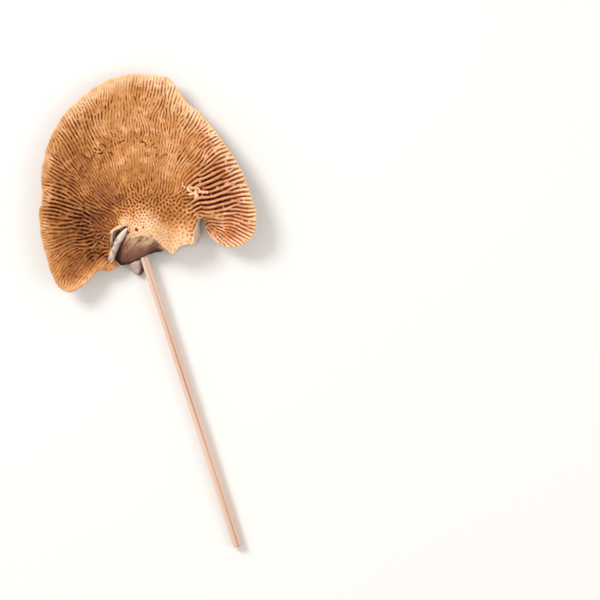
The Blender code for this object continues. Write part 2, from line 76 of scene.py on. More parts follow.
# One row for each station round the cap: the margin's x, y and height, the x, y and height of the edge
# where that gill line starts, and the direction in which it starts, in degrees from +X.
STATIONS = np.array(
    [
        (-14.3, -12.2, 8.0, -16.2, -9.2, 9.5, 225),
        (-18.4, -14.3, 8.5, -16.8, -7.6, 10.5, 222),
        (-23.3, -14.1, 9.5, -17.2, -5.8, 11.5, 216),
        (-27.7, -19.3, 11.0, -17.6, -4.2, 12.0, 210),
        (-32.2, -22.6, 12.0, -17.8, -2.9, 12.5, 204),
        (-37.6, -24.4, 12.5, -17.9, -1.5, 13.0, 198),
        (-42.2, -21.2, 12.8, -18.0, -0.4, 13.0, 192),
        (-46.0, -12.5, 13.0, -17.9, 0.8, 13.0, 186),
        (-48.7, -3.4, 13.5, -17.7, 1.9, 13.0, 180),
        (-50.4, 4.9, 13.5, -17.0, 3.3, 13.0, 170),
        (-50.7, 12.2, 13.0, -15.6, 4.4, 13.2, 158),
        (-49.9, 20.5, 12.5, -13.7, 5.3, 13.5, 148),
        (-49.8, 31.0, 11.5, -11.9, 6.2, 14.0, 134),
        (-47.7, 41.7, 10.5, -10.3, 6.2, 14.5, 112),
        (-43.5, 51.8, 9.5, -9.3, 4.1, 15.0, 90),
        (-37.6, 60.2, 8.8, -8.6, 1.8, 15.5, 84),
        (-28.5, 68.3, 8.4, -6.7, 0.8, 16.0, 92),
        (-17.4, 74.5, 8.6, -3.9, 1.6, 16.5, 98),
        (-7.3, 76.6, 9.0, -0.5, 1.3, 16.5, 94),
        (1.5, 76.2, 9.6, 2.5, 0.4, 16.5, 90),
        (8.4, 74.7, 10.2, 4.7, -1.6, 16.2, 88),
        (13.0, 70.2, 10.0, 6.5, -3.4, 16.0, 86),
        (16.6, 64.3, 9.4, 8.4, -5.0, 15.8, 84),
        (23.5, 58.3, 9.6, 10.4, -6.4, 15.5, 84),
        (29.6, 51.3, 10.6, 13.8, -3.2, 15.5, 84),
        (35.1, 43.4, 12.0, 17.9, -2.1, 15.5, 88),
        (40.2, 35.9, 13.5, 20.3, -2.1, 15.5, 98),
        (44.3, 27.6, 14.8, 20.7, 2.5, 15.2, 98),
        (47.3, 18.9, 15.5, 21.8, 7.1, 15.0, 86),
        (49.4, 10.7, 15.8, 23.0, 9.6, 14.8, 58),
        (48.0, 2.5, 15.2, 24.2, 10.2, 14.5, 14),
        (43.0, -2.5, 14.0, 24.9, 9.7, 14.0, -20),
        (37.0, -3.8, 13.0, 25.4, 9.0, 13.5, -46),
        (31.0, -1.7, 12.0, 25.6, 8.2, 13.0, -64),
        (27.3, 1.7, 11.0, 25.7, 7.4, 12.0, -82),
        (25.6, 4.5, 10.0, 25.4, 6.6, 11.0, -98),
    ]
)

# The wall under the foot's edge, by u: how far its bottom leans out in x and y, and its height there.
WALL = np.array(
    [
        (0.00, 0.2, -0.2, 3.0),
        (0.04, 1.2, -0.6, 2.8),
        (0.10, 3.2, -1.4, 2.5),
        (0.18, 4.2, -1.4, 2.2),
        (0.24, 3.4, -1.5, 2.0),
        (0.31, 2.4, -2.2, 1.4),
        (0.35, 1.0, -1.6, 1.0),
        (0.37, 0.2, -0.5, 0.8),
        (0.42, 0.0, 0.0, 0.0),
        (0.78, 0.0, 0.0, 0.0),
        (0.81, 2.6, 0.0, 0.4),
        (0.85, 0.7, 0.0, 1.2),
        (0.89, 0.0, 0.0, 2.0),
        (1.00, -0.2, 0.0, 3.0),
    ]
)

# How rough the torn flesh of that wall is. Up to one u it belongs to the pale strip and from another to the
# slit on the right. The strip's tone low down and what is added above, the slit's tone, and the tone of the
# slot between them at its bottom and what is added at its top. The strip and the slot are darker low down as
# painted shade under the foot's edge.
WALL_ROUGHNESS = 0.30
WALL_STRIP_END = 0.25
WALL_SLIT_START = 0.79
STRIP_TONE = 0.25
STRIP_PALER = 0.60
SLIT_TONE = 0.9
SLOT_TONE = 0.78
SLOT_PALER = 0.2

# The torn face of the foot, left to right: its upper edge and the crust below it, each as x, y and height.
TORN_FACE = np.array(
    [
        (-12.3, 1.8, 9.5, -16.4, -9.4, 5.0),
        (-10.4, 2.7, 12.5, -14.9, -10.4, 5.4),
        (-8.2, 2.2, 15.1, -13.0, -11.2, 4.8),
        (-4.4, 2.2, 16.1, -9.4, -11.0, 4.4),
        (-0.8, 1.8, 16.2, -5.4, -8.9, 5.8),
        (2.6, 0.6, 16.2, -1.0, -7.0, 8.0),
        (4.8, -1.7, 15.9, 2.4, -5.6, 9.4),
        (6.8, -4.2, 15.0, 5.2, -5.6, 10.6),
    ]
)
# The foot's hidden back: how far inside the torn edge and how far below it each of its rows lies. Its base
# begins this far inside the crust and lies this high.
TORN_BACK = ((4.0, 4.5), (0.6, 1.6))
CRUST_INSET = 4.5
TORN_BASE = 0.6
# The torn face swells in its middle, and fibres and lumps stand out of it.
TORN_SWELL = 0.5
FIBRE_RELIEF = 0.12
STREAK_RELIEF = 0.14
TORN_LUMPS = 0.30
TORN_COLUMNS = 260
TORN_ROWS = 90
# How wide it is and how far it slopes down, in millimetres, for the pattern of its fibres.
TORN_WIDTH = 20.0
TORN_DROP = 11.0
# The crust's thickness and how ragged its edge is. Its rows are how deep each lies and how far back.
CRUST_THICKNESS = 1.4
CRUST_RAGGED = 0.30
CRUST_ROWS = ((0.3, -0.15), (0.7, -0.1), (CRUST_THICKNESS, 0.6), (CRUST_THICKNESS * 1.6, 3.0))

# The strip of pale flesh between the left lobe and the torn face: its middle line's x, y and height, and
# its half width.
STRIP = np.array(
    [
        (-9.7, 5.1, 15.2, 1.0),
        (-11.2, 3.5, 15.0, 1.3),
        (-13.1, 1.2, 14.2, 1.6),
        (-15.2, -2.2, 12.9, 1.7),
        (-16.8, -5.4, 12.6, 1.6),
        (-17.6, -8.2, 12.1, 1.5),
        (-18.0, -10.4, 11.0, 1.2),
    ]
)
STRIP_DEPTH = 3.4
STRIP_RINGS = 121
STRIP_SIDES = 48

# The lump of grey skin that is left below the crust: its middle and half sizes, and its turn about Z.
LUMP_CENTRE = (-6.6, -10.7, 2.2)
LUMP_HALF_SIZE = (5.4, 5.6, 2.9)
LUMP_TURN = math.radians(12)
LUMP_RINGS = 60
LUMP_SIDES = 96

# The gill lines: how square they meet the margin, how straight they leave the foot, over how much of u the
# margin's direction is evened out, and from which length in millimetres a line counts as long.
MARGIN_SQUARENESS = 0.40
FOOT_STRAIGHTNESS = 0.26
MARGIN_SMOOTHING = 0.045
LONG_GILL = 30.0

# The flesh: the rim's thickness, what is added evenly towards the foot, how fast the rest falls off as a
# power of 1 - s, and the least that is left under a groove. The relief stays this far below the CAD's top.
RIM_THICKNESS = 2.2
FLESH_TAPER = 4.5
FLESH_FALL = 4
LEAST_FLESH = 1.1
TOP_GAP = 0.05

# The back: where the flat belly ends, the power of the rise to the margin, how far the lobes' inner edges
# lift it for short and for long gill lines, and how fast the wall's lean falls off.
BELLY_END = 0.45
LIFT_POWER = 1.6
EDGE_REACH_SHORT = 1.0
EDGE_REACH_LONG = 0.3
LEAN_FALL = 3

# Radial folds of the margin: height, how many run along the whole margin, and phase.
FOLDS = ((0.35, 7, 0.6), (0.25, 12, 2.1), (0.15, 19, 4.0))

# The margin rolls down over its last millimetres, and further on the right lobe: where that begins, over
# how much of u it grows, where it ends and over how much it goes.
ROLL_WIDTH = 5.5
ROLL = 0.4
RIGHT_ROLL = 1.4
RIGHT_START = 0.72
RIGHT_GROWTH = 0.1
RIGHT_END = 0.98
RIGHT_LOSS = 0.08

# The rim: how far its nose stands out, and how far it stands back everywhere, in slow waves, at the end of
# a groove and at the notch, which begins sharply at its u and runs out slowly.
RIM_NOSE = 0.6
RIM_BACK = 0.12
RIM_WAVE = 0.07
RIM_BACK_MOST = 0.3
RIM_TEETH = 0.15
NOTCH = 0.2486
NOTCH_DEPTH = 0.6
NOTCH_START = 0.004
NOTCH_LENGTH = 0.03

# Shallow dips in the gill side: x, y, radius in x and in y, depth.
DIPS = ((31.4, 22.9, 8.0, 5.0, 1.8), (-32.1, 9.2, 7.0, 9.0, 1.5))

# The growth step on the gill side: its height, its s, its width, and where it fades in from the foot.
STEP_HEIGHT = 0.5
STEP_PLACE = 0.62
STEP_WIDTH = 0.05
STEP_FADE_START = 0.3
STEP_FADE = 0.3

# The back's growth zones, each as height, spacing in s and phase, its wrinkles and warts, and over how much
# of s these fade in past the belly and out at the rim.
ZONES = ((0.32, 0.16, 0), (0.14, 0.053, 1))
WRINKLE_HEIGHT = 0.16
WRINKLES = 64
FINE_WARTS = 0.12
BROAD_WARTS = 0.10
BACK_FADE = 0.1
BACK_RIM_FADE = 0.06

# The pick: where its middle line leaves the foot and where it ends, its radii and how deep it goes in.
PICK_EXIT = (-2.4, -9.1, 5.0)
PICK_END = (40.5, -141.5)
PICK_RADIUS_AT_CAP = 1.9
PICK_RADIUS_AT_END = 2.4
PICK_DEPTH = 13.0
PICK_STATIONS = 240
PICK_SIDES = 96
# Its cut ends are softly rounded, in steps that each have this share of the radius. Between them, from one
# share of its length to the other, it has all of it.
PICK_ROUNDING = (0.02, 0.6, 0.93)
PICK_BARREL = (0.0012, 0.9988)
# Its grain: how many faint lines run along it, how wide they are in radians, how dark, and how far they
# drift round it. The one strong line has its own place in radians, width and darkness.
GRAIN_LINES = 26
GRAIN_WIDTHS = (0.05, 0.16)
GRAIN_STRENGTHS = (0.05, 0.25)
GRAIN_DRIFT = 0.25
STRONG_GRAIN = (1.5, 0.13, 0.45)
GRAIN_SEED = 8

# The gill pattern is worked out on a square raster of this spacing, from this corner, all in millimetres.
RASTER = 0.15
LEFT = -53.0
BOTTOM = -27.5
CELLS = 720

# The plan is laid on it from this many points along u and along s, a little past the margin, and outside
# the cap it is filled in from cells within these reaches.
PLAN_COLUMNS = 2600
PLAN_ROWS = 760
PLAN_END = 1.03
FILL_REACHES = (1.5, 5, 20, 80)

# Its filter: how many directions it knows, its wave lengths in millimetres, how wide its bands are in
# frequency and in angle, how many rounds it takes, over how many cells it evens the pattern out, how far
# gills keep their direction at most, and how hard it is pushed towards walls and grooves.
ANGLES = 24
GILL_WAVES = (1.1, 1.45, 1.9, 2.5)
WAVE_BAND = 0.22
ANGLE_BAND = 0.22
ROUNDS = 6
EVENING_REACH = 12
ALIGNED = 0.95
PUSH = 1.6
PATTERN_SEED = 3

# Sizes in millimetres of the clouds that vary the plan and then the walls.
PLAN_CLOUDS = {"middling": 2.2, "fine": 1.0, "broad": 5.0, "tiny": 0.7}
WALL_CLOUDS = {"dash": 0.5, "glint": 0.6, "breaks": 0.45, "ragged": 0.5, "calm": 1.1}
GRIT_SIZE = 0.22
GRIT_HEIGHT = 0.05
# Bridges stand where the dash cloud is past the start, which lies lower where the pattern is more broken,
# and they raise a groove by this share of the way to a low wall. Loose walls break by this depth where the
# breaks cloud is past its start.
BRIDGE_START = 1.2
BRIDGE_MORE = 1.1
BRIDGE_FADE = 0.5
BRIDGE_HEIGHT = 0.85
BREAK_START = 0.9
BREAK_FADE = 0.8
BREAK_DEPTH = 0.9
SKIN_CLOUDS = {"broad": 0.8, "middling": 1.6, "fine": 0.35}

# How far, in millimetres and in s, a place where gills were seen counts, and what holds far from them all:
# its weight, spacing, depth and order.
REACH = 4.5
ZONE_REACH = 0.16
FAR_WEIGHT = 0.02
FAR_SPACING = 1.5
FAR_DEPTH = 0.4
FAR_ORDER = 0.7

# The lobes' own gills: up to this u on the left and from this u on the right, and over how much they fade.
LEFT_GILLS_END = 0.44
LEFT_GILLS_FADE = 0.08
RIGHT_GILLS_START = 0.68
RIGHT_GILLS_FADE = 0.08

# Gills of the left margin fork over the last millimetres into finer ones of this spacing.
FORK_REACH = 3.6
FORK_FADE = 1.6
FORK_SPACING = 1.3

# Grooves in millimetres: the shallowest, how much deeper a full slot is, and the power between. They grow
# shallow over the last millimetres before the rim, and start within this s of the foot.
GROOVE_LEAST = 0.04
GROOVE_MOST = 1.6
GROOVE_POWER = 1.4
GROOVE_FADE_START = 2.5
GROOVE_FADE = 2.0
RIGHT_SMOOTH_RIM = 0.6
RIGHT_SMOOTH_FADE = 1.4
GROOVE_START = 0.04
# How much deeper a pit is, as a share of its groove, how deep a lone pore is, and how far the walls' tops
# are worn, from this far inside the rim.
PIT_DEPTH = 0.5
LONE_PORE_DEPTH = 0.5
WORN_HEIGHT = 0.10
WORN_REACH = 4

# Where the gill side's colours change: the left lobe is browner up to this u and the right lobe pinker from
# this u on, the foot is pale up to this s, and the rim is cream and its grooves pale over the last
# millimetres.
BROWN_END = 0.46
BROWN_FADE = 0.12
PINK_START = 0.66
PINK_FADE = 0.14
FOOT_END = 0.29
FOOT_FADE = 0.24
CREAM_RIM = 7.0
CREAM_FADE = 6.0
PALE_RIM = 5.0
# The tone in the middle of the cap, what the lobes, the gills inside INNER_END and the rim add to it, what
# it is on the foot, and how much the clouds change it.
MIDDLE_TONE = 0.50
LEFT_TONE = -0.22
RIGHT_TONE = 0.10
INNER_TONE = -0.10
INNER_END = 0.55
RIM_TONE = 0.34
FOOT_TONE = 0.92
MIDDLING_TONE = 0.05
BROAD_TONE = 0.04
# Spots that are darker or paler than that: x and y, radii in x and in y, and what is added. The dark spot
# on the left lobe lies in its dip and is painted shade.
TONE_SPOTS = (
    ((-31, 4), (11, 13), -0.22),
    ((-36, -16), (10, 8), -0.02),
    ((12, 58), (14, 14), 0.10),
)
# How dark a groove is painted, partly the flesh's own brown and partly painted shade that deepens with the
# groove: for its depth, less an even part, for loose gills, in clouds, in pits and in lone pores, and how
# much of that is lost at the rim and on the foot.
DEPTH_DARK = 1.2
LESS_DARK = 0.10
LOOSE_DARK = -0.06
BROAD_DARK = 0.06
PIT_DARK = 0.5
LONE_DARK = 0.5
RIM_LOSS = 0.7
FOOT_LOSS = 0.8
# What the fungus material reads where nothing else is said.
PLAIN_VALUES = {"ridge": 1.0, "tone": 0.0, "dark": 0.0, "pink": 0.0, "skin": 0.0, "grey": 0.0, "place": 0.0}

# How the gills run at places on the cap: x and y, their direction in degrees from +X, their spacing in
# millimetres, how deep they are (1 is a full slot), and how far they run in line (1) or part into pores (0).
SEEN = {
    "left lobe, outer zone": (
        (-47, 32, -35, 1.6, 0.45, 1.0), (-41, 28, -30, 1.8, 0.5, 1.0), (-45, 38, -50, 1.6, 0.45, 1.0),
        (-42, 27, -18, 1.8, 0.55, 1.0), (-41, 43, -62, 1.6, 0.45, 1.0), (-35, 52, -65, 1.5, 0.45, 0.95),
        (-27, 66, -70, 1.3, 0.3, 0.95), (-26, 56, -68, 1.5, 0.35, 0.9), (-37, 20, -24, 1.8, 0.7, 1.0),
        (-49, 21, -12, 1.5, 0.5, 1.0), (-43, 18, -16, 1.9, 0.95, 1.0), (-40, 14, -7, 1.9, 1.0, 1.0),
        (-42, 9, 4, 1.9, 0.6, 1.0), (-43, 6, 5, 1.9, 0.5, 1.0), (-43, 1, 12, 1.9, 0.45, 0.95),
        (-41, -2, 18, 1.8, 0.4, 0.9),
    ),
    "left lobe, tip": (
        (-41, -5, 28, 1.6, 0.35, 0.8), (-42, -12, 42, 1.3, 0.3, 0.7), (-36, -10, 47, 1.7, 0.3, 0.7),
        (-40, -17, 60, 1.5, 0.3, 0.8), (-34, -17, 85, 1.5, 0.25, 0.8), (-30, -15, 80, 1.6, 0.3, 0.7),
        (-26, -12, 50, 1.7, 0.35, 0.7), (-22, -10, 55, 1.6, 0.25, 0.8),
    ),
    "left lobe, pits by the foot": (
        (-29, 10, -15, 2.0, 0.95, 0.9), (-29, 6, -6, 2.1, 1.0, 0.8), (-29, 3, 0, 2.0, 0.95, 0.6),
        (-27, -2, 10, 1.9, 0.75, 0.3), (-31, -5, 25, 1.9, 0.65, 0.3), (-23, 4, -10, 1.8, 0.75, 0.4),
        (-19, 11, -33, 1.7, 0.6, 0.6), (-24, 15, -35, 1.7, 0.6, 0.8),
    ),
    "inner zone": (
        (-30, 24, -57, 1.4, 0.45, 0.9), (-30, 29, -62, 1.3, 0.4, 0.85), (-24, 33, -68, 1.3, 0.3, 0.8),
        (-23, 38, -66, 1.3, 0.35, 0.7), (-18, 25, -75, 1.4, 0.35, 0.55), (-14, 37, -85, 1.3, 0.25, 0.6),
        (-5, 34, 90, 1.3, 0.25, 0.6), (2, 37, 90, 1.3, 0.25, 0.6), (8, 29, 88, 1.4, 0.3, 0.75),
        (13, 31, 74, 1.4, 0.3, 0.7), (0, 25, 88, 1.4, 0.45, 0.4),
    ),
    "top, outer zone": (
        (-18, 71, 92, 1.1, 0.12, 1.0), (-12, 69, 90, 1.1, 0.12, 1.0), (-4, 72, 82, 1.5, 0.3, 1.0),
        (1, 72, 76, 1.5, 0.35, 1.0), (6, 67, 70, 1.5, 0.35, 1.0), (12, 64, 72, 1.4, 0.3, 0.95),
        (16, 62, 76, 1.5, 0.35, 1.0), (18, 59, 60, 1.6, 0.4, 1.0), (20, 57, 52, 1.6, 0.4, 1.0),
        (-18, 60, -82, 1.4, 0.3, 0.65), (-12, 58, 90, 1.4, 0.25, 0.6), (-6, 59, 90, 1.4, 0.3, 0.65),
        (0, 59, 84, 1.4, 0.35, 0.65), (5, 55, 78, 1.4, 0.35, 0.7), (11, 51, 82, 1.4, 0.3, 0.7),
        (11, 46, 88, 1.4, 0.3, 0.7),
    ),
    "right side": (
        (15, 44, 72, 1.5, 0.35, 0.7), (18, 41, 58, 1.5, 0.35, 0.75), (17, 50, 48, 1.5, 0.4, 0.65),
        (22, 41, 46, 1.5, 0.4, 0.75), (25, 44, 36, 1.6, 0.45, 0.8), (29, 47, 27, 1.7, 0.5, 0.9),
        (30, 45, 22, 1.8, 0.5, 1.0), (20, 35, 50, 1.5, 0.35, 0.75), (24, 33, 33, 1.8, 0.5, 0.9),
        (34, 38, 20, 2.0, 0.55, 1.0), (37, 32, 17, 2.0, 0.6, 1.0), (40, 27, 14, 2.0, 0.6, 1.0),
    ),
    "right side, slots": (
        (25, 27, 31, 2.2, 0.8, 1.0), (29, 29, 26, 2.3, 0.95, 1.0), (29, 23, 13, 2.4, 1.0, 1.0),
        (27, 18, 11, 2.4, 1.0, 1.0), (23, 17, 15, 2.3, 0.9, 1.0), (30, 19, 15, 2.4, 0.95, 1.0),
        (37, 17, 14, 2.2, 0.85, 1.0),
    ),
    "right lobe": (
        (44, 18, 8, 1.9, 0.5, 1.0), (45, 15, 0, 1.8, 0.45, 1.0), (44, 12, -12, 1.8, 0.45, 1.0),
        (42, 9, -18, 1.7, 0.45, 1.0), (40, 6, -20, 1.6, 0.4, 1.0), (40, 2, -30, 1.6, 0.4, 0.95),
        (37, 0, -50, 1.5, 0.35, 0.9), (33, 1, -50, 1.4, 0.35, 0.75), (31, 6, -45, 1.4, 0.35, 0.6),
        (33, 11, 10, 1.7, 0.5, 0.8), (29, 13, 5, 1.9, 0.5, 0.8), (25, 12, 0, 2.0, 0.5, 0.6),
    ),
    "pores": (
        (-7, 22, -80, 1.4, 0.5, 0.3), (-12, 16, -50, 1.5, 0.6, 0.1), (-5, 17, 90, 1.5, 0.55, 0.1),
        (2, 17, 80, 1.5, 0.55, 0.1), (9, 17, 60, 1.6, 0.5, 0.1), (16, 14, 40, 1.8, 0.45, 0.1),
        (10, 12, 45, 1.8, 0.4, 0.0), (0, 12, 90, 1.5, 0.45, 0.0), (-9, 11, -60, 1.5, 0.35, 0.0),
        (-14, 12, -45, 1.6, 0.5, 0.2), (-17, 8, -40, 1.5, 0.4, 0.2),
    ),
    "foot, nearly smooth": (
        (-5, 6, 90, 1.5, 0.08, 0.0), (5, 4, 90, 1.5, 0.06, 0.0), (13, 6, 90, 1.7, 0.18, 0.0),
        (18, 8, 60, 1.7, 0.25, 0.0),
    ),
}

# The growth line, where gills broke off and began again, as s, how far it lies further in on the left lobe
# and its width, and the fainter line outside it. Each runs from one u to another, eased over the second
# number.
GROWTH_LINE = 0.665
GROWTH_LINE_SHIFT = 0.12
GROWTH_LINE_WIDTH = 0.014
GROWTH_LINE_FROM = (0.2, 0.06)
GROWTH_LINE_TO = (0.66, 0.05)
GROWTH_LINE_LEFT = (0.32, 0.06)
OUTER_LINE = 0.87
OUTER_LINE_WIDTH = 0.02
OUTER_LINE_FROM = (0.36, 0.06)
OUTER_LINE_TO = (0.63, 0.05)

# Curled tears where gills broke off at the growth line, each as the x and y of the points it joins. They are
# sunk in and painted dark, partly their own dark torn flesh and partly painted shade in the hollow.
TEARS = (
    ((-23.0, 44.0), (-21.8, 44.2), (-20.8, 43.6), (-20.8, 42.6)),
    ((-16.7, 44.0), (-18.0, 43.6), (-18.2, 42.4)),
    ((-27.0, 47.9), (-26.3, 46.1)),
    ((-25.6, 42.3), (-24.4, 42.1), (-23.1, 41.3)),
    ((-25.2, 40.4), (-26.2, 39.6), (-26.6, 38.3), (-27.2, 37.1)),
    ((-31.5, 39.9), (-30.2, 38.6), (-29.1, 38.0), (-27.4, 37.0), (-26.4, 36.2)),
    ((-24.2, 39.8), (-22.8, 39.9), (-21.8, 40.5)),
    ((-19.3, 40.1), (-18.4, 40.5), (-17.5, 39.3)),
    ((-22.1, 33.9), (-23.1, 33.3), (-23.6, 32.3)),
    ((-31.0, 34.1), (-31.9, 33.0), (-32.4, 32.2), (-31.5, 31.3)),
    ((-15.2, 45.4), (-13.9, 45.4), (-12.1, 46.2)),
    ((-16.7, 45.1), (-15.6, 44.3), (-14.3, 44.6)),
    ((-21.2, 39.2), (-20.6, 38.9)),
    ((-6.0, 45.6), (-4.4, 46.2)),
    ((-4.1, 45.5), (-3.2, 45.6), (-2.5, 44.9), (-2.3, 43.6)),
    ((-9.1, 48.0), (-9.0, 47.8)),
    ((-10.3, 46.8), (-9.9, 46.4)),
    ((-6.4, 47.4), (-6.2, 46.8)),
    ((-7.3, 45.6), (-7.2, 44.9)),
    ((-0.5, 42.9), (0.8, 43.7), (1.4, 44.5)),
    ((2.1, 42.9), (2.9, 42.8), (3.9, 41.6), (2.7, 41.2)),
    ((3.8, 40.3), (2.9, 39.6), (2.9, 38.8)),
    ((7.7, 39.7), (6.0, 39.0), (5.1, 38.1)),
    ((-1.7, 39.0), (-0.8, 39.1)),
    ((2.3, 36.3), (2.4, 35.4)),
    ((1.3, 33.5), (1.0, 31.6)),
    ((3.2, 30.8), (4.5, 31.8)),
    ((14.0, 40.6), (13.4, 38.8), (12.4, 36.9)),
    ((14.9, 38.1), (13.7, 35.6)),
)
TEAR_HALF_WIDTH = 0.34

# The healed scar by the slots: raised cream strokes, each from one x, y to another and with its half width.
SCAR = (
    (15.0, 26.4, 14.8, 25.2, 0.30), (14.8, 25.2, 15.8, 24.6, 0.30), (18.1, 25.2, 17.1, 24.5, 0.40),
    (17.1, 24.5, 17.1, 23.9, 0.45), (17.1, 23.9, 17.9, 23.0, 0.50), (17.9, 23.0, 19.0, 22.4, 0.35),
    (18.5, 24.2, 19.7, 23.9, 0.40), (19.7, 23.9, 22.1, 23.8, 0.35), (20.8, 23.0, 20.4, 21.8, 0.50),
    (20.4, 21.8, 21.6, 20.7, 0.75), (21.6, 20.7, 20.6, 19.6, 0.50), (21.9, 23.5, 22.8, 22.2, 0.45),
    (22.8, 22.2, 24.2, 21.8, 0.55), (24.2, 21.8, 26.2, 22.1, 0.45), (19.5, 21.7, 18.1, 20.9, 0.35),
)
SCAR_HEIGHT = 0.4
# Single large pores on the foot: x, y and radius.
LONE_PORES = ((-5.7, 4.5, 0.8), (1.1, 1.5, 0.5), (-2.6, 5.6, 0.4))
# The smooth raised lip beside the pale strip: its middle, its half length and half width, and its turn.
LIP = ((-15.4, 4.7), (3.6, 1.1), 0.58)
LIP_HEIGHT = 0.45

# The cap's skin is cut along gill lines into four closed wedges, so that each keeps its fine mesh.
WEDGES = (
    ("cap_left_lobe", 0.00, 0.25),
    ("cap_upper_left", 0.25, 0.50),
    ("cap_upper_right", 0.50, 0.75),
    ("cap_right_lobe", 0.75, 1.00),
)
WEDGE_COLUMNS = 384
FACE_ROWS = 281
RIM_ROWS = 9
BACK_ROWS = 121
WALL_ROWS = 22

# The camera looks straight down from above the middle of the photograph, whose 600 pixels are this wide.
PHOTO_WIDTH = 276.0
PHOTO_CENTRE = (69.0, -27.6)
CAMERA_HEIGHT = 900.0
CAP_LEVEL = 8.0
SENSOR = 36.0

# Colours as the shaders' ramps take them: places from 0 to 1 and what holds there. The gills' tops and
# flanks go from brown to cream and the grooves from tan to dark brown; the tops' colours also paint a
# highlight on the walls' crests, and the grooves' dark end is partly painted shade. Patches are a little
# yellower or pinker, torn flesh goes from dark to pale, and the back's zones go from the middle to the rim.
TOP_COLOURS = ((0.0, "#AE7142"), (0.25, "#CE8F5A"), (0.5, "#ECA86C"), (0.8, "#FDCFA4"), (1.0, "#FFE4C2"))
FLANK_COLOURS = ((0.0, "#844E2A"), (0.25, "#AA6D3A"), (0.5, "#CB8A4F"), (0.8, "#EFC296"), (1.0, "#F8D4AA"))
GROOVE_COLOURS = ((0.0, "#D6A478"), (0.2, "#B1703B"), (0.4, "#8E5022"), (0.7, "#6C3212"), (1.0, "#3A140A"))
PATCH_COLOURS = ((0.35, "#FFFAE6"), (0.5, "#FFFFFF"), (0.65, "#FFF4F0"))
TORN_COLOURS = ((0.0, "#2E2019"), (0.25, "#644A3C"), (0.5, "#9A8074"), (0.75, "#CDB6A8"), (1.0, "#F8E4D2"))
ZONE_COLOURS = (
    (0.0, "#8E7A6C"), (0.12, "#A39182"), (0.30, "#B5A18F"), (0.42, "#9C8570"), (0.50, "#BCA68F"),
    (0.58, "#A98A6C"), (0.66, "#C2AB92"), (0.73, "#A48468"), (0.80, "#C6AC8E"), (0.87, "#B08A63"),
    (0.95, "#D0A77C"), (1.0, "#E2BC92"),
)
# What the right lobe's flesh and the felt of the back are multiplied by.
PINK_FLESH = "#FFF4FF"
FELT_SHADE = "#D8CCC4"
# The torn foot goes from its cream edge down to the dark crust, and has gaps and shade between fibres.
SLOPE_COLOURS = (
    (0.0, "#F8D8B4"), (0.16, "#E4BC98"), (0.34, "#BE9076"), (0.6, "#A0755F"), (0.85, "#775344"),
    (1.0, "#3A241B"),
)
FIBRE_GAPS = "#6B4C40"
FIBRE_SHADE = "#D6C4B8"
# The pick goes from its grain lines to the wood between, and its cut ends are darker.
WOOD_COLOURS = ((0.0, "#A97A5C"), (0.3, "#D2A98F"), (0.65, "#E9CBB7"), (1.0, "#F3DAC8"))
CUT_END = "#C9A384"
# The floor.
PAPER = "#F6F5F3"

# Numbers of a colour mix's sockets. They have to be numbers, because some of its sockets share a name.
FACTOR = 0
COLOUR_A = 6
COLOUR_B = 7
MIXED = 2

# The stage, in metres: half the floor's side, how far it lies below the object so that the two don't touch,
# the lights' names, places, widths and power in watts, and the white room's colour and strength.
FLOOR_HALF = 1.5
FLOOR_DROP = 0.2 * MM
LIGHTS = (
    ("key_light", (-0.75, 0.65, 1.0), 0.6, 11.0),
    ("fill_light", (0.9, -0.2, 0.9), 0.8, 2.8),
)
ROOM_COLOUR = "#FFFCF8"
ROOM_STRENGTH = 0.66


def ease(t):
    """0 below 0, 1 above 1, and the cubic 3 t^2 - 2 t^3 between."""
    t = np.clip(t, 0.0, 1.0)
    return t * t * (3.0 - 2.0 * t)


def past(value, start, width):
    """0 up to start and 1 from start + width on, eased between."""
    return ease((value - start) / width)


def before(value, end, width):
    """1 up to end - width and 0 from end on, eased between."""
    return ease((end - value) / width)


def bump(x, y, centre, radii, turn=0.0):
    """A bell over (x, y): 1 at its centre, with its own radius along and across a turned axis."""
    dx = x - centre[0]
    dy = y - centre[1]
    along = dx * math.cos(turn) + dy * math.sin(turn)
    across = dy * math.cos(turn) - dx * math.sin(turn)
    return np.exp(-((along / radii[0]) ** 2) - (across / radii[1]) ** 2)


def through(places, values, at):
    """A smooth curve through values at places: each span is the cubic whose slopes at its ends are the
    mean slopes of the points on both sides."""
    slopes = np.gradient(values, places, axis=0)
    i = np.clip(np.searchsorted(places, at, side="right") - 1, 0, len(places) - 2)
    width = (places[i + 1] - places[i])[:, None]
    t = (at - places[i])[:, None] / width
    return (
        (2 * t**3 - 3 * t**2 + 1) * values[i]
        + (t**3 - 2 * t**2 + t) * width * slopes[i]
        + (3 * t**2 - 2 * t**3) * values[i + 1]
        + (t**3 - t**2) * width * slopes[i + 1]
    )


def station_places():
    """The u of each station: its distance along the margin, as a share of the whole margin."""
    steps = np.hypot(*np.diff(STATIONS[:, :2], axis=0).T)
    distance = np.concatenate([[0.0], np.cumsum(steps)])
    return distance / distance[-1]


PLACES = station_places()


def foot_offset():
    """Where the middle of the foot lies in the frame, in millimetres: the cap's own left and top sides
    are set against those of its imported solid."""
    low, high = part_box("mushroom_cap")
    margin = through(PLACES, STATIONS, np.linspace(0, 1, 2001))
    return np.array([low[0] / MM - margin[:, 0].min(), high[1] / MM - margin[:, 1].max(), 0.0])


FOOT = foot_offset()


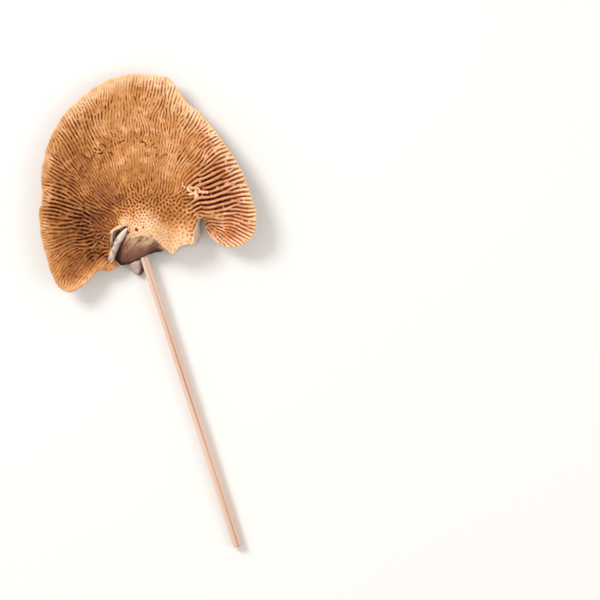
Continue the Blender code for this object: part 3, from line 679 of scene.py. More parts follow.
def plan(u, s):
    """x and y of each (u, s), seen from above, and the length of each gill line.

    A gill line is a cubic curve: the mean of the foot's edge, a point near it, a point near the margin and
    the margin, weighted by (1 - s)^3, 3 (1 - s)^2 s, 3 (1 - s) s^2 and s^3. It leaves the foot's edge in that
    station's direction and meets the margin at a right angle, so the lines fan out from the foot as the gills
    do."""
    row = through(PLACES, STATIONS, u)
    margin = row[:, 0:2]
    edge = row[:, 3:5]
    ahead = through(PLACES, STATIONS, np.clip(u + MARGIN_SMOOTHING, 0, 1))[:, 0:2]
    behind = through(PLACES, STATIONS, np.clip(u - MARGIN_SMOOTHING, 0, 1))[:, 0:2]
    tangent = (ahead - behind) / np.linalg.norm(ahead - behind, axis=1)[:, None]
    inward = np.stack([tangent[:, 1], -tangent[:, 0]], axis=1)
    angle = np.radians(row[:, 6])
    start = np.stack([np.cos(angle), np.sin(angle)], axis=1)
    length = np.linalg.norm(margin - edge, axis=1)[:, None]
    near_foot = edge + start * length * FOOT_STRAIGHTNESS
    near_margin = margin + inward * length * MARGIN_SQUARENESS
    s = np.broadcast_to(s, u.shape)[:, None]
    xy = (
        (1 - s) ** 3 * edge
        + 3 * (1 - s) ** 2 * s * near_foot
        + 3 * (1 - s) * s**2 * near_margin
        + s**3 * margin
    )
    return xy, length[:, 0]


def waves(u, s):
    """Low radial folds that grow towards the margin: sine waves along u, times s cubed."""
    return s**3 * sum(height * np.sin(2 * math.pi * count * u + phase) for height, count, phase in FOLDS)


def back_height(u, s, length):
    """Height of the cap's back. It is 0 on the flat belly, rises to the margin as a power of the distance
    past the belly, and rises a little at the lobes' inner edges."""
    margin_height = through(PLACES, STATIONS[:, 2:3], u)[:, 0]
    floor = np.interp(u, WALL[:, 0], WALL[:, 3])
    long = ease(length / LONG_GILL)
    begin = BELLY_END * long
    lift = (margin_height - RIM_THICKNESS / 2) * (np.clip(s - begin, 0, 1) / (1 - begin)) ** LIFT_POWER
    reach = EDGE_REACH_SHORT + (EDGE_REACH_LONG - EDGE_REACH_SHORT) * long
    near_edge = np.clip(1 - s / reach, 0, 1) ** 2
    return lift + floor * near_edge + np.where(s > begin, waves(u, s), 0.0)


def thickness(u, s):
    """Flesh and gills together: thick at the foot, falling fast at first and then evenly to the rim."""
    edge_height = through(PLACES, STATIONS[:, 5:6], u)[:, 0]
    floor = np.interp(u, WALL[:, 0], WALL[:, 3])
    at_foot = edge_height - floor - RIM_THICKNESS - FLESH_TAPER
    return RIM_THICKNESS + FLESH_TAPER * (1 - s) + at_foot * (1 - s) ** FLESH_FALL


def roll_depth(u):
    """How far the margin rolls down at u: most of all on the right lobe."""
    return ROLL + RIGHT_ROLL * past(u, RIGHT_START, RIGHT_GROWTH) * before(u, RIGHT_END, RIGHT_LOSS)


def face_height(u, s, xy, length):
    """Height of the gill side: the back's height and the flesh, less the dips, the growth step and the
    margin that rolls down."""
    height = back_height(u, s, length) + thickness(u, s)
    for x, y, radius_x, radius_y, depth in DIPS:
        height -= depth * bump(xy[:, 0], xy[:, 1], (x, y), (radius_x, radius_y))
    step = before(s, STEP_PLACE, STEP_WIDTH) * past(s, STEP_FADE_START, STEP_FADE) * ease(length / LONG_GILL)
    to_margin = (1 - s) * length
    roll = roll_depth(u) * np.clip(1 - to_margin / ROLL_WIDTH, 0, 1) ** 2
    return height + STEP_HEIGHT * step - roll


def blur(field, radius):
    """The field under a round bell of this radius in cells, worked out on its spectrum."""
    squared = np.fft.fftfreq(CELLS)[:, None] ** 2 + np.fft.rfftfreq(CELLS)[None] ** 2
    bell = np.exp(-2 * math.pi**2 * squared * radius**2)
    return np.fft.irfft2(np.fft.rfft2(field) * bell, s=field.shape)


def cloud(rng, size):
    """Smooth noise with lumps of this size in millimetres, mean 0 and spread 1."""
    field = blur(rng.standard_normal((CELLS, CELLS)), size / RASTER)
    return (field - field.mean()) / field.std()


def sample(field, x, y):
    """The raster field at x and y, straight between its cells."""
    column = np.clip((x - LEFT) / RASTER - 0.5, 0, CELLS - 1.001)
    row = np.clip((y - BOTTOM) / RASTER - 0.5, 0, CELLS - 1.001)
    i = row.astype(int)
    j = column.astype(int)
    up = row - i
    right = column - j
    return (
        field[i, j] * (1 - up) * (1 - right)
        + field[i, j + 1] * (1 - up) * right
        + field[i + 1, j] * up * (1 - right)
        + field[i + 1, j + 1] * up * right
    )


def raster_maps():
    """u, s, the gill line's length and its direction, for each cell of the raster.

    Dense points of the (u, s) plan are averaged cell by cell, and cells outside the cap take the blurred
    values of their neighbours. The direction is averaged as the cosine and sine of twice its angle."""
    u = np.linspace(0, 1, PLAN_COLUMNS)
    places = np.linspace(0, PLAN_END, PLAN_ROWS)
    rows = [plan(u, s) for s in places]
    xy = np.array([row[0] for row in rows])
    length = np.broadcast_to(rows[0][1], xy.shape[:2])
    along = np.gradient(xy, axis=0)
    twice = 2 * np.arctan2(along[..., 1], along[..., 0])
    column = np.clip(((xy[..., 0] - LEFT) / RASTER).astype(int), 0, CELLS - 1)
    row = np.clip(((xy[..., 1] - BOTTOM) / RASTER).astype(int), 0, CELLS - 1)
    cell = (row * CELLS + column).ravel()
    count = np.bincount(cell, minlength=CELLS**2).reshape(CELLS, CELLS)
    inside = count > 0
    filled = []
    across_u = np.broadcast_to(u, twice.shape)
    across_s = np.broadcast_to(places[:, None], twice.shape)
    for values in (across_u, across_s, length, np.cos(twice), np.sin(twice)):
        total = np.bincount(cell, weights=values.ravel(), minlength=CELLS**2).reshape(CELLS, CELLS)
        field = np.where(inside, total / np.maximum(count, 1), 0.0)
        known = inside.copy()
        for radius in FILL_REACHES:
            weight = blur(inside.astype(float), radius)
            near = (weight > 1e-3) & ~known
            field[near] = (blur(field * inside, radius) / np.maximum(weight, 1e-9))[near]
            known |= near
        filled.append(field)
    u_map, s_map, length_map, cosine, sine = filled
    return u_map, s_map, length_map, 0.5 * np.arctan2(sine, cosine)


def seen_places(x, y, s, direction):
    """Spreads what was seen at places over the raster. Each place counts for less with its distance in
    millimetres and in s, so that a zone keeps its own gills; far from all of them, the gill lines of the
    plan hold. Directions are averaged as the cosine and sine of twice the angle."""
    places = np.array([row for rows in SEEN.values() for row in rows])
    total = np.full(s.shape, FAR_WEIGHT)
    cosine = total * np.cos(2 * direction)
    sine = total * np.sin(2 * direction)
    spacing = total * FAR_SPACING
    depth = total * FAR_DEPTH
    order = total * FAR_ORDER
    own_s = sample(s, places[:, 0], places[:, 1])
    for place_s, (px, py, degrees, gap, deep, line) in zip(own_s, places):
        near = ((x - px) ** 2 + (y - py) ** 2) / (2 * REACH**2) + ((s - place_s) / ZONE_REACH) ** 2
        weight = np.exp(-near)
        total += weight
        cosine += weight * math.cos(2 * math.radians(degrees))
        sine += weight * math.sin(2 * math.radians(degrees))
        spacing += weight * gap
        depth += weight * deep
        order += weight * line
    return spacing / total, depth / total, order / total, 0.5 * np.arctan2(sine, cosine)


def gill_plan(rng):
    """What the pattern follows on the raster, as a dictionary of fields.

    At the left margin the gills fork into finer ones over the last millimetres. Along the growth line they
    stop and start in curled pits. Where pores grow, the bias makes the walls join all round. Heat is how
    much new noise is let in, and broken is how often low bridges cross the grooves."""
    u, s, length, direction = raster_maps()
    x = LEFT + (np.arange(CELLS) + 0.5)[None, :] * RASTER + np.zeros((CELLS, 1))
    y = BOTTOM + (np.arange(CELLS) + 0.5)[:, None] * RASTER + np.zeros((1, CELLS))
    middling, fine, broad, tiny = (cloud(rng, size) for size in PLAN_CLOUDS.values())
    spacing, depth, order, direction = seen_places(x, y, s, direction)
    left = before(u, LEFT_GILLS_END, LEFT_GILLS_FADE)
    right = past(u, RIGHT_GILLS_START, RIGHT_GILLS_FADE)
    fork = left * before((1 - s) * length, FORK_REACH, FORK_FADE)
    spacing = (spacing * (1 - fork) + FORK_SPACING * fork) * np.exp(0.04 * broad)
    spacing = spacing * (1 - 0.12 * np.clip(2.5 * (1 - order), 0, 1) * past(order, 0.3, 0.2))
    line_s = GROWTH_LINE - GROWTH_LINE_SHIFT * before(u, *GROWTH_LINE_LEFT) + 0.02 * broad + 0.008 * middling
    halt = np.exp(-(((s - line_s) / GROWTH_LINE_WIDTH) ** 2))
    halt = halt * past(u, *GROWTH_LINE_FROM) * before(u, *GROWTH_LINE_TO)
    halt = halt * past(middling, -1.2, 1.0)
    outer = np.exp(-(((s - OUTER_LINE - 0.015 * broad) / OUTER_LINE_WIDTH) ** 2))
    outer = outer * past(u, *OUTER_LINE_FROM) * before(u, *OUTER_LINE_TO)
    direction = direction + (0.07 + 0.35 * (1 - order)) * fine + 0.09 * middling
    direction = direction + 0.3 * (fork + 0.9 * (1 - order) * (1 - fork)) * tiny
    order = order * (1 - 0.5 * outer) * (1 - 0.9 * halt)
    pores = before(order, 0.5, 0.4) * (1 - halt)
    broken = np.clip(0.4 + 0.8 * (1 - order) + 0.1 * left - 0.4 * right, 0, 1) * (1 - pores) + 0.1 * pores
    return {
        "x": x,
        "y": y,
        "spacing": spacing,
        "depth": depth,
        "order": order,
        "direction": direction,
        "right": right,
        "halt": halt,
        "outer": outer,
        "pores": pores,
        "bias": 0.08 + 1.1 * pores - 0.1 * right + 0.1 * left - 0.2 * halt,
        "heat": 0.75 * np.clip(1.15 - order, 0, 1) * (1 - 0.45 * pores),
        "broken": broken,
    }


def grow_pattern(plan_fields, rng):
    """Gills and pores out of noise, before their walls are shaped.

    The noise is filtered again and again. Each round keeps only waves of the wanted spacing: in all
    directions where pores grow, and across the wanted direction where gills do. It is evened out and pushed
    towards 1 and -1, and where the gills are loose a little new noise is added. So walls fork, join and end
    by themselves, as they do on the real cap."""
    order, spacing, direction = (plan_fields[key] for key in ("order", "spacing", "direction"))
    f_row = np.fft.fftfreq(CELLS, RASTER)[:, None]
    f_column = np.fft.rfftfreq(CELLS, RASTER)[None]
    frequency = np.hypot(f_row, f_column)
    heading = np.arctan2(f_row, f_column)
    turn = math.pi / ANGLES
    place = (direction % math.pi) / turn
    lower = place.astype(int) % ANGLES
    part = place - place.astype(int)
    shares = []
    bands = []
    for k in range(ANGLES):
        shares.append(np.where(lower == k, 1 - part, 0) + np.where((lower + 1) % ANGLES == k, part, 0))
        bands.append(np.exp(-(np.sin(heading - k * turn - math.pi / 2) ** 2) / (2 * ANGLE_BAND**2)))
    log_waves = np.log(GILL_WAVES)
    log_spacing = np.log(np.clip(spacing, GILL_WAVES[0], GILL_WAVES[-1]))
    wave_shares = np.clip(
        1 - np.abs(log_spacing - log_waves[:, None, None]) / (log_waves[1] - log_waves[0]), 0, 1
    )
    wave_shares /= wave_shares.sum(axis=0)
    pattern = rng.standard_normal((CELLS, CELLS))
    for _ in range(ROUNDS):
        spectrum = np.fft.rfft2(pattern + plan_fields["heat"] * rng.standard_normal(pattern.shape))
        combined = np.zeros_like(pattern)
        for wave, wave_share in zip(GILL_WAVES, wave_shares):
            ring = spectrum * np.exp(-(((frequency * wave - 1) / WAVE_BAND) ** 2) / 2)
            gills = sum(
                share * np.fft.irfft2(ring * band, s=pattern.shape) for share, band in zip(shares, bands)
            )
            every_way = np.fft.irfft2(ring, s=pattern.shape)
            combined += wave_share * ALIGNED * order * evened(gills)
            combined += wave_share * (1 - ALIGNED * order) * evened(every_way)
        raw = PUSH * evened(combined) + plan_fields["bias"]
        pattern = np.tanh(raw)
    return raw


def evened(field):
    """The field divided by its own strength nearby, so that no part of it fades."""
    return field / np.sqrt(blur(field**2, EVENING_REACH))


def stroke(x, y, x0, y0, x1, y1, half):
    """1 on a stroke with round ends from (x0, y0) to (x1, y1), falling to 0 just outside its half width."""
    along = np.array([x1 - x0, y1 - y0])
    share = np.clip(((x - x0) * along[0] + (y - y0) * along[1]) / (along @ along), 0, 1)
    away = np.hypot(x - x0 - share * along[0], y - y0 - share * along[1])
    return ease(1 - (away - 0.6 * half) / (0.9 * half))


def gill_fields():
    """The gills on the raster. Wall is the relief: 1 on the walls' tops and 0 in the grooves. Ridge is the
    same before its tops are flattened, for the colours, which paint a highlight on the tops and shade in the
    grooves. Pit is 1 in the holes that are sunk deeper and painted darkest, partly as shade, and depth is how
    deep the grooves are.

    Grooves are seldom open for long: they are rows of dashes, because low bridges close them in between."""
    rng = np.random.default_rng(PATTERN_SEED)
    fields = gill_plan(rng)
    raw = grow_pattern(fields, rng)
    dash, glint, breaks, ragged, calm = (cloud(rng, size) for size in WALL_CLOUDS.values())
    x, y, order, pores, depth, right, broken = (
        fields[key] for key in ("x", "y", "order", "pores", "depth", "right", "broken")
    )
    loose = np.clip(2.5 * (1 - order), 0, 1) * (1 - pores)
    # Loose gills are flatter in calm patches, pores lie open, and grooves are narrower except on the right
    # lobe.
    raw = raw * (1 - 0.5 * loose * past(calm, -0.2, 1.4))
    raw = raw - 1.3 * pores + 0.30 * (1 - pores) * (1 - right)
    # Bridges cross the grooves, more of them where the pattern is more broken, and loose walls break.
    bridge = past(dash, BRIDGE_START - BRIDGE_MORE * broken, BRIDGE_FADE)
    raw = raw + BRIDGE_HEIGHT * bridge * np.clip(0.5 - raw, 0, 3)
    raw = raw - BREAK_DEPTH * loose * past(breaks, BREAK_START, BREAK_FADE)
    # Pits, sunk deeper and painted darker partly as shade, lie where a groove is deep and broken, along the
    # outer line and where the growth line halts it.
    pit = before(dash, -0.6 - 0.45 * loose, 0.8) * (0.3 + 0.5 * broken) * past(depth, 0.1, 0.15)
    pit = pit + fields["outer"] * before(dash, 0.2, 0.8) + 0.45 * fields["halt"] * past(ragged, -0.6, 1.0)
    # Tears and scar are drawn with a slightly ragged edge.
    near_x = x + 0.15 * glint
    near_y = y + 0.15 * ragged
    legs = [(*a, *b, TEAR_HALF_WIDTH) for tear in TEARS for a, b in zip(tear, tear[1:])]
    torn = np.max([stroke(near_x, near_y, *leg) for leg in legs], axis=0) * (0.55 + 0.4 * np.tanh(dash))
    healed = np.max([stroke(near_x, near_y, *row) for row in SCAR], axis=0)
    lone = sum(bump(x, y, place[:2], (place[2], 0.85 * place[2])) for place in LONE_PORES)
    lone = ease(1.4 * lone)
    shut = (1 - lone) * (1 - torn)
    grit = cloud(rng, GRIT_SIZE)
    ridge = np.clip(0.5 + raw / 4 + 0.07 * grit * (1 - 0.6 * right), 0, 1)
    made = {
        "wall": blur(ease((np.tanh(raw) + 1) / 2) * shut, 0.6) + GRIT_HEIGHT * grit,
        "depth": np.maximum(depth, 0.4 * torn),
        "ridge": blur(ridge * shut, 0.5),
        "pit": np.clip(pit + lone + 0.75 * torn, 0, 1),
        "lip": past(bump(x, y, *LIP), 0.3, 0.3),
        "lone": lone,
        "healed": healed,
        "glint": glint,
        "loose": loose,
    }
    made.update({key: cloud(rng, size) for key, size in SKIN_CLOUDS.items()})
    return made


def skin_rows():
    """The rows of a wedge's skin, as (side, share, halvings): out over the gills, round the rim, back under
    the cap and up the wall of the foot. Each halving halves the number of columns, where they crowd."""
    rows = []
    for share in np.linspace(0, 1, FACE_ROWS):
        rows.append(("face", share, 2 if share < 0.2 else 1 if share < 0.5 else 0))
    for turn in np.linspace(0, 1, RIM_ROWS)[1:-1]:
        rows.append(("rim", turn, 0))
    for share in np.linspace(1, 0, BACK_ROWS):
        rows.append(("back", share, 1 if share > 0.6 else 2 if share > 0.2 else 3))
    for share in np.linspace(0, 1, WALL_ROWS)[1:-1]:
        rows.append(("wall", share, 3 if share < 0.12 else 2))
    return rows


def rounding_start(u, fields):
    """The s at which the rim's rounding begins. The rim itself stands back from the plan's margin by slow
    waves, by a notch at the left and by a little at the end of each groove."""
    xy, length = plan(u, 1.0)
    x, y = xy.T
    back = np.clip(RIM_BACK + RIM_WAVE * sample(fields["middling"], x, y), 0, RIM_BACK_MOST)
    back += NOTCH_DEPTH * past(u, NOTCH, NOTCH_START) * np.exp(-np.clip(u - NOTCH, 0, 1) / NOTCH_LENGTH)
    back += RIM_TEETH * (1 - sample(fields["wall"], x, y))
    return 1 - np.minimum((RIM_NOSE + back) / length, 0.5)


def groove_depth(u, s, length, depth):
    """Depth of the grooves in millimetres. They grow shallow over the last millimetres before the rim: at
    the right lobe to nothing, so that its rim is smooth, and elsewhere to a part."""
    away = (1 - s) * length
    right = past(u, RIGHT_GILLS_START, RIGHT_GILLS_FADE)
    millimetres = GROOVE_LEAST + GROOVE_MOST * depth**GROOVE_POWER
    at_rim = 1 - 0.6 * before(away, GROOVE_FADE_START, GROOVE_FADE)
    at_right_rim = 1 - right * (1 - past(away, RIGHT_SMOOTH_RIM, RIGHT_SMOOTH_FADE))
    return millimetres * (at_rim * at_right_rim) * past(s, 0, GROOVE_START)


def fungus_values(count, **given):
    """What the fungus material reads at each of count points: the values given, and plain ones otherwise.

    Ridge is 1 on a wall's top and 0 in a groove, and sets where the painted highlight and shade lie. Tone
    goes from the darker left lobe (0) over the middle (0.5) to the cream rim and foot (1). Dark is how dark
    the grooves are painted, partly their own brown and partly painted shade, and pink is the right lobe's
    paler, less yellow flesh. Skin is 1 on the back, and place is its growth zones' s. Grey is 1 where the
    flesh is torn."""
    return {key: given.get(key, np.full(count, plain)) for key, plain in PLAIN_VALUES.items()}


def face_points(u, share, begin, fields):
    """Points of a row of the gill side, with the pattern as its relief, and what its material reads."""
    s = share * begin
    xy, length = plan(u, s)
    x, y = xy.T
    got = {key: sample(fields[key], x, y) for key in fields}
    smooth = np.clip(got["healed"] + got["lip"], 0, 1)
    wall = got["wall"] * (1 - smooth) + smooth
    pit = got["pit"] * (1 - smooth)
    relief = groove_depth(u, s, length, got["depth"]) * (1 - wall) * (1 + PIT_DEPTH * pit)
    relief = relief + LONE_PORE_DEPTH * got["lone"]
    worn = WORN_HEIGHT * got["broad"] * ease((1 - s) * length / WORN_REACH)
    height = face_height(u, s, xy, length) - relief + worn
    height = height + SCAR_HEIGHT * got["healed"] + LIP_HEIGHT * got["lip"]
    height = np.clip(height, back_height(u, s, length) + LEAST_FLESH, CAD_BOX[1][2] / MM - TOP_GAP)
    return np.column_stack([xy, height]), gill_values(u, s, length, x, y, pit, smooth, got)


def gill_values(u, s, length, x, y, pit, smooth, got):
    """What the fungus material reads on the gill side: the lobes, the foot, the rim and the pattern each
    change the tone, the darkness and the ridge a little."""
    left = before(u, BROWN_END, BROWN_FADE)
    right = past(u, PINK_START, PINK_FADE)
    away = (1 - s) * length
    foot = before(s, FOOT_END, FOOT_FADE) * past(length, 20, 20) * past(x, -17, 6)
    tone = MIDDLE_TONE + LEFT_TONE * left + RIGHT_TONE * right
    tone += INNER_TONE * before(s, INNER_END, 0.1) * (1 - right)
    tone += sum(added * bump(x, y, centre, radii) for centre, radii, added in TONE_SPOTS)
    tone += RIM_TONE * before(away, CREAM_RIM, CREAM_FADE)
    tone = tone * (1 - foot) + FOOT_TONE * foot
    tone += MIDDLING_TONE * got["middling"] + BROAD_TONE * got["broad"]
    tone = tone * (1 - smooth) + smooth
    dark = DEPTH_DARK * got["depth"] - LESS_DARK + LOOSE_DARK * got["loose"] + BROAD_DARK * got["broad"]
    dark = np.clip(dark + PIT_DARK * pit, 0, 1)
    dark = dark * (1 - RIM_LOSS * before(away, PALE_RIM, PALE_RIM)) * (1 - FOOT_LOSS * foot) * (1 - smooth)
    dark = dark + LONE_DARK * got["lone"]
    ridge = got["ridge"] * (1 - smooth) + 0.9 * smooth
    # The painted highlight on the walls' tops is broken up by the glint cloud, and pits are painted darker as
    # shade.
    ridge = ridge - 0.12 * before(got["glint"], 0.3, 1.2) * past(ridge, 0.6, 0.2) - 0.15 * pit
    faint = np.maximum(0.12 * foot, 0.35 * before(away, PALE_RIM, PALE_RIM) * (1 - right))
    ridge = ridge + (0.85 - ridge) * faint
    pink = right * past(s, 0.35, 0.2) * (1 - foot) * (1 - RIM_LOSS * before(away, PALE_RIM, 4.0))
    shades = {"ridge": ridge, "tone": tone, "dark": dark, "pink": pink}
    shades = {key: np.clip(out_of_painted_shade, 0, 1) for key, out_of_painted_shade in shades.items()}
    return fungus_values(len(u), **shades, place=np.zeros(len(u)) + s)


def rim_points(u, turn, begin, fields):
    """Points round the rim's nose: an arc from the gill side (turn 0) to the back (turn 1), into which the
    grooves run on and fade out half way round."""
    top_xy, length = plan(u, begin)
    top = face_height(u, begin, top_xy, length)
    low = back_height(u, begin, length)
    angle = math.pi * turn
    x, y = top_xy.T
    got = {key: sample(fields[key], x, y) for key in fields}
    fade = before(turn, 0.5, 0.5)
    relief = groove_depth(u, begin, length, got["depth"]) * (1 - got["wall"]) * fade
    xy, _ = plan(u, begin + (RIM_NOSE - relief) * math.sin(angle) / length)
    height = (top + low) / 2 + ((top - low) / 2 - relief) * math.cos(angle)
    values = gill_values(u, begin, length, x, y, np.zeros(len(u)), np.zeros(len(u)), got)
    values["ridge"] = 0.8 - (0.8 - values["ridge"]) * fade
    values["skin"] = np.full(len(u), past(turn, 0.5, 0.35))
    return np.column_stack([xy, height]), values


def back_points(u, share, begin, fields):
    """Points of a row of the back: growth zones as low rounded ridges, wrinkles across them, and warts."""
    s = share * begin
    xy, length = plan(u, s)
    lean = np.column_stack([np.interp(u, WALL[:, 0], WALL[:, k]) for k in (1, 2)])
    xy = xy + lean * ((1 - s) ** LEAN_FALL)[:, None]
    x, y = xy.T
    broad, fine, middling = (sample(fields[key], x, y) for key in ("broad", "fine", "middling"))
    wobble = s + 0.010 * middling
    outside = past(s, BELLY_END, BACK_FADE) * before(s, 1, BACK_RIM_FADE) * ease(length / LONG_GILL)
    zones = sum(
        height * np.sin(2 * math.pi * wobble / spacing + phase) for height, spacing, phase in ZONES
    )
    wrinkles = WRINKLE_HEIGHT * np.sin(2 * math.pi * WRINKLES * u + 2.2 * broad) * fine
    warts = FINE_WARTS * np.clip(fine, 0, 3) + BROAD_WARTS * np.clip(broad, 0, 3)
    height = back_height(u, s, length) + (zones + wrinkles) * outside + warts * before(s, 0.985, 0.05)
    one = np.ones(len(u))
    values = fungus_values(len(u), tone=0.7 * one, skin=one, place=wobble)
    return np.column_stack([xy, np.maximum(height, 0.0)]), values


def wall_points(u, share, edge, bottom, fields):
    """Points of a row of the wall from the back (share 0) up to the foot's edge (share 1). It is torn grey
    flesh: pale at the left strip's top and at the right slit, dark in the slot and low down, where the
    darkness is painted shade."""
    row = bottom + (edge - bottom) * share
    rough = WALL_ROUGHNESS * math.sin(math.pi * share)
    wide, fine = (
        sample(fields[key], row[:, 0] * 2 + 30, row[:, 2] * 2 - row[:, 1]) for key in ("broad", "fine")
    )
    row[:, 0] += rough * (0.6 * wide + 0.5 * fine)
    row[:, 1] += rough * (0.6 * fine - 0.4 * wide)
    strip = before(u, WALL_STRIP_END, 0.02)
    slit = past(u, WALL_SLIT_START, 0.01)
    between = 1 - strip - slit
    # The strip and the slot are painted darker low down, as shade under the foot's edge.
    tone = strip * (STRIP_TONE + STRIP_PALER * past(share, 0.1, 0.15))
    tone = tone + slit * SLIT_TONE + between * (SLOT_TONE + SLOT_PALER * share)
    tone = tone + 0.07 * wide + 0.06 * fine - 0.4 * strip * past(fine, 1.2, 0.5)
    grey = np.full(len(u), 1 - past(share, 0.88, 0.12))
    tone = np.clip(tone * grey + (1 - grey) * 0.95, 0, 1)
    return row, fungus_values(len(u), tone=tone, grey=grey)


def row_faces(first, second):
    """Triangles and quads between two rows of point numbers, of which one may be twice as fine."""
    if len(first) == len(second):
        quads = np.column_stack([first[:-1], first[1:], second[1:], second[:-1]])
        return np.zeros((0, 3), int), quads
    flip = len(first) > len(second)
    coarse, fine = (second, first) if flip else (first, second)
    left = fine[:-1:2]
    mid = fine[1::2]
    right = fine[2::2]
    triangles = np.concatenate(
        [
            np.column_stack([coarse[:-1], mid, left]),
            np.column_stack([coarse[:-1], coarse[1:], mid]),
            np.column_stack([coarse[1:], right, mid]),
        ]
    )
    return (triangles[:, ::-1] if flip else triangles), np.zeros((0, 4), int)


def side_faces(upper, lower, turned):
    """Triangles between two lines of point numbers that share both ends, taken evenly along both."""
    a = np.linspace(0, 1, len(upper))[1:]
    b = np.linspace(0, 1, len(lower))[1:]
    order = np.argsort(np.concatenate([a, b]), kind="stable")
    on_upper = order < len(a)
    i = np.cumsum(on_upper) - on_upper
    j = np.cumsum(~on_upper) - ~on_upper
    next_upper = upper[np.minimum(i + 1, len(upper) - 1)]
    next_lower = lower[np.minimum(j + 1, len(lower) - 1)]
    triangles = np.column_stack([upper[i], np.where(on_upper, next_upper, next_lower), lower[j]])
    first, second, third = triangles.T
    triangles = triangles[(first != second) & (second != third) & (first != third)]
    return triangles[:, ::-1] if turned else triangles


def mesh_object(name, points, triangles, quads, values, finish):
    """A smooth-shaded object from points in millimetres about the foot, with values as its attributes."""
    mesh = bpy.data.meshes.new(name)
    corners = np.concatenate([triangles.ravel(), quads.ravel()]).astype(np.int32)
    sizes = np.concatenate([np.full(len(triangles), 3), np.full(len(quads), 4)]).astype(np.int32)
    starts = np.concatenate([[0], np.cumsum(sizes)[:-1]]).astype(np.int32)
    mesh.vertices.add(len(points))
    mesh.vertices.foreach_set("co", ((points + FOOT) * MM).astype(np.float32).ravel())
    mesh.loops.add(len(corners))
    mesh.loops.foreach_set("vertex_index", corners)
    mesh.polygons.add(len(sizes))
    mesh.polygons.foreach_set("loop_start", starts)
    mesh.polygons.foreach_set("loop_total", sizes)
    mesh.update(calc_edges=True)
    mesh.validate()
    mesh.shade_smooth()
    for key, value in values.items():
        layer = mesh.attributes.new(key, "FLOAT", "POINT")
        layer.data.foreach_set("value", value.astype(np.float32))
    mesh.materials.append(finish)
    made = bpy.data.objects.new(name, mesh)
    bpy.context.collection.objects.link(made)
    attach(made, "root")
    return made


def mark_sides(mesh, lines):
    """Makes the edges along the cut sides sharp, so that the skin's shading runs on over a seam."""
    ends = np.empty(len(mesh.edges) * 2, np.int32)
    mesh.edges.foreach_get("vertices", ends)
    ends = ends.reshape(-1, 2)
    sharp = np.zeros(len(mesh.edges), bool)
    for line in lines:
        rank = np.full(len(mesh.vertices), -1)
        rank[line] = np.arange(len(line))
        a = rank[ends[:, 0]]
        b = rank[ends[:, 1]]
        step = np.abs(a - b)
        sharp |= (a >= 0) & (b >= 0) & ((step == 1) | (step == len(line) - 1))
    layer = mesh.attributes.new("sharp_edge", "BOOLEAN", "EDGE")
    layer.data.foreach_set("value", sharp)


def build_wedge(name, first_u, last_u, fields, finish):
    """One closed wedge of the cap, from its rows of skin and its two cut sides."""
    begins = rounding_start(np.linspace(first_u, last_u, WEDGE_COLUMNS + 1), fields)
    rows = skin_rows()
    points = []
    numbers = []
    values = []
    count = 0
    for side, share, halvings in rows:
        columns = WEDGE_COLUMNS >> halvings
        u = np.linspace(first_u, last_u, columns + 1)
        begin = begins[:: 1 << halvings]
        if side == "face":
            row, entry = face_points(u, share, begin, fields)
        elif side == "rim":
            row, entry = rim_points(u, share, begin, fields)
        elif side == "back":
            row, entry = back_points(u, share, begin, fields)
            bottom = row
            bottom_u = u
        else:
            top_u = np.linspace(first_u, last_u, len(points[0]))
            edge = np.column_stack([np.interp(u, top_u, points[0][:, k]) for k in range(3)])
            foot = np.column_stack([np.interp(u, bottom_u, bottom[:, k]) for k in range(3)])
            row, entry = wall_points(u, share, edge, foot, fields)
        points.append(row)
        numbers.append(np.arange(count, count + columns + 1))
        values.append(entry)
        count += columns + 1
    triangles = []
    quads = []
    for first, second in zip(numbers, numbers[1:] + numbers[:1]):
        three, four = row_faces(first, second)
        triangles.append(three)
        quads.append(four)
    starts = np.array([n[0] for n in numbers])
    ends = np.array([n[-1] for n in numbers])
    nose = next(k for k, row in enumerate(rows) if row[0] == "rim" and row[1] >= 0.5)
    first_wall = next(k for k, row in enumerate(rows) if row[0] == "wall")
    middle = (first_wall + len(rows)) // 2
    for line, turned in ((starts, False), (ends, True)):
        upper = np.concatenate([line[middle:], line[: nose + 1]])
        lower = line[nose : middle + 1][::-1]
        triangles.append(side_faces(upper, lower, turned))
    attributes = {key: np.concatenate([entry[key] for entry in values]) for key in values[0]}
    triangles = np.concatenate(triangles)[:, ::-1]
    quads = np.concatenate(quads)[:, ::-1]
    made = mesh_object(name, np.concatenate(points), triangles, quads, attributes, finish)
    mark_sides(made.data, (starts, ends))
    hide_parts("mushroom_cap")


def linear(code):
    """An sRGB hex colour as the linear values that a shader takes."""
    parts = [int(code[k : k + 2], 16) / 255 for k in (1, 3, 5)]
    return (*[p / 12.92 if p <= 0.04045 else ((p + 0.055) / 1.055) ** 2.4 for p in parts], 1.0)


def new_material(name, roughness, specular):
    """A material with its node tree and its Principled shader."""
    made = bpy.data.materials.new(name)
    made.use_nodes = True
    shader = made.node_tree.nodes["Principled BSDF"]
    shader.inputs["Roughness"].default_value = roughness
    shader.inputs["Specular IOR Level"].default_value = specular
    return made, made.node_tree, shader


def add(tree, kind, links=(), stops=(), inputs=(), **settings):
    """Adds a node with its settings. Links are pairs of an output socket and the input that it feeds, inputs
    are pairs of an input and its value, and stops are the places and hex colours of a colour ramp."""
    node = tree.nodes.new(kind)
    for key, value in settings.items():
        setattr(node, key, value)
    for key, value in inputs:
        node.inputs[key].default_value = value
    for source, target in links:
        tree.links.new(source, node.inputs[target])
    for k, (place, code) in enumerate(stops):
        element = node.color_ramp.elements[k] if k < 2 else node.color_ramp.elements.new(place)
        element.position = place
        element.color = linear(code)
    return node


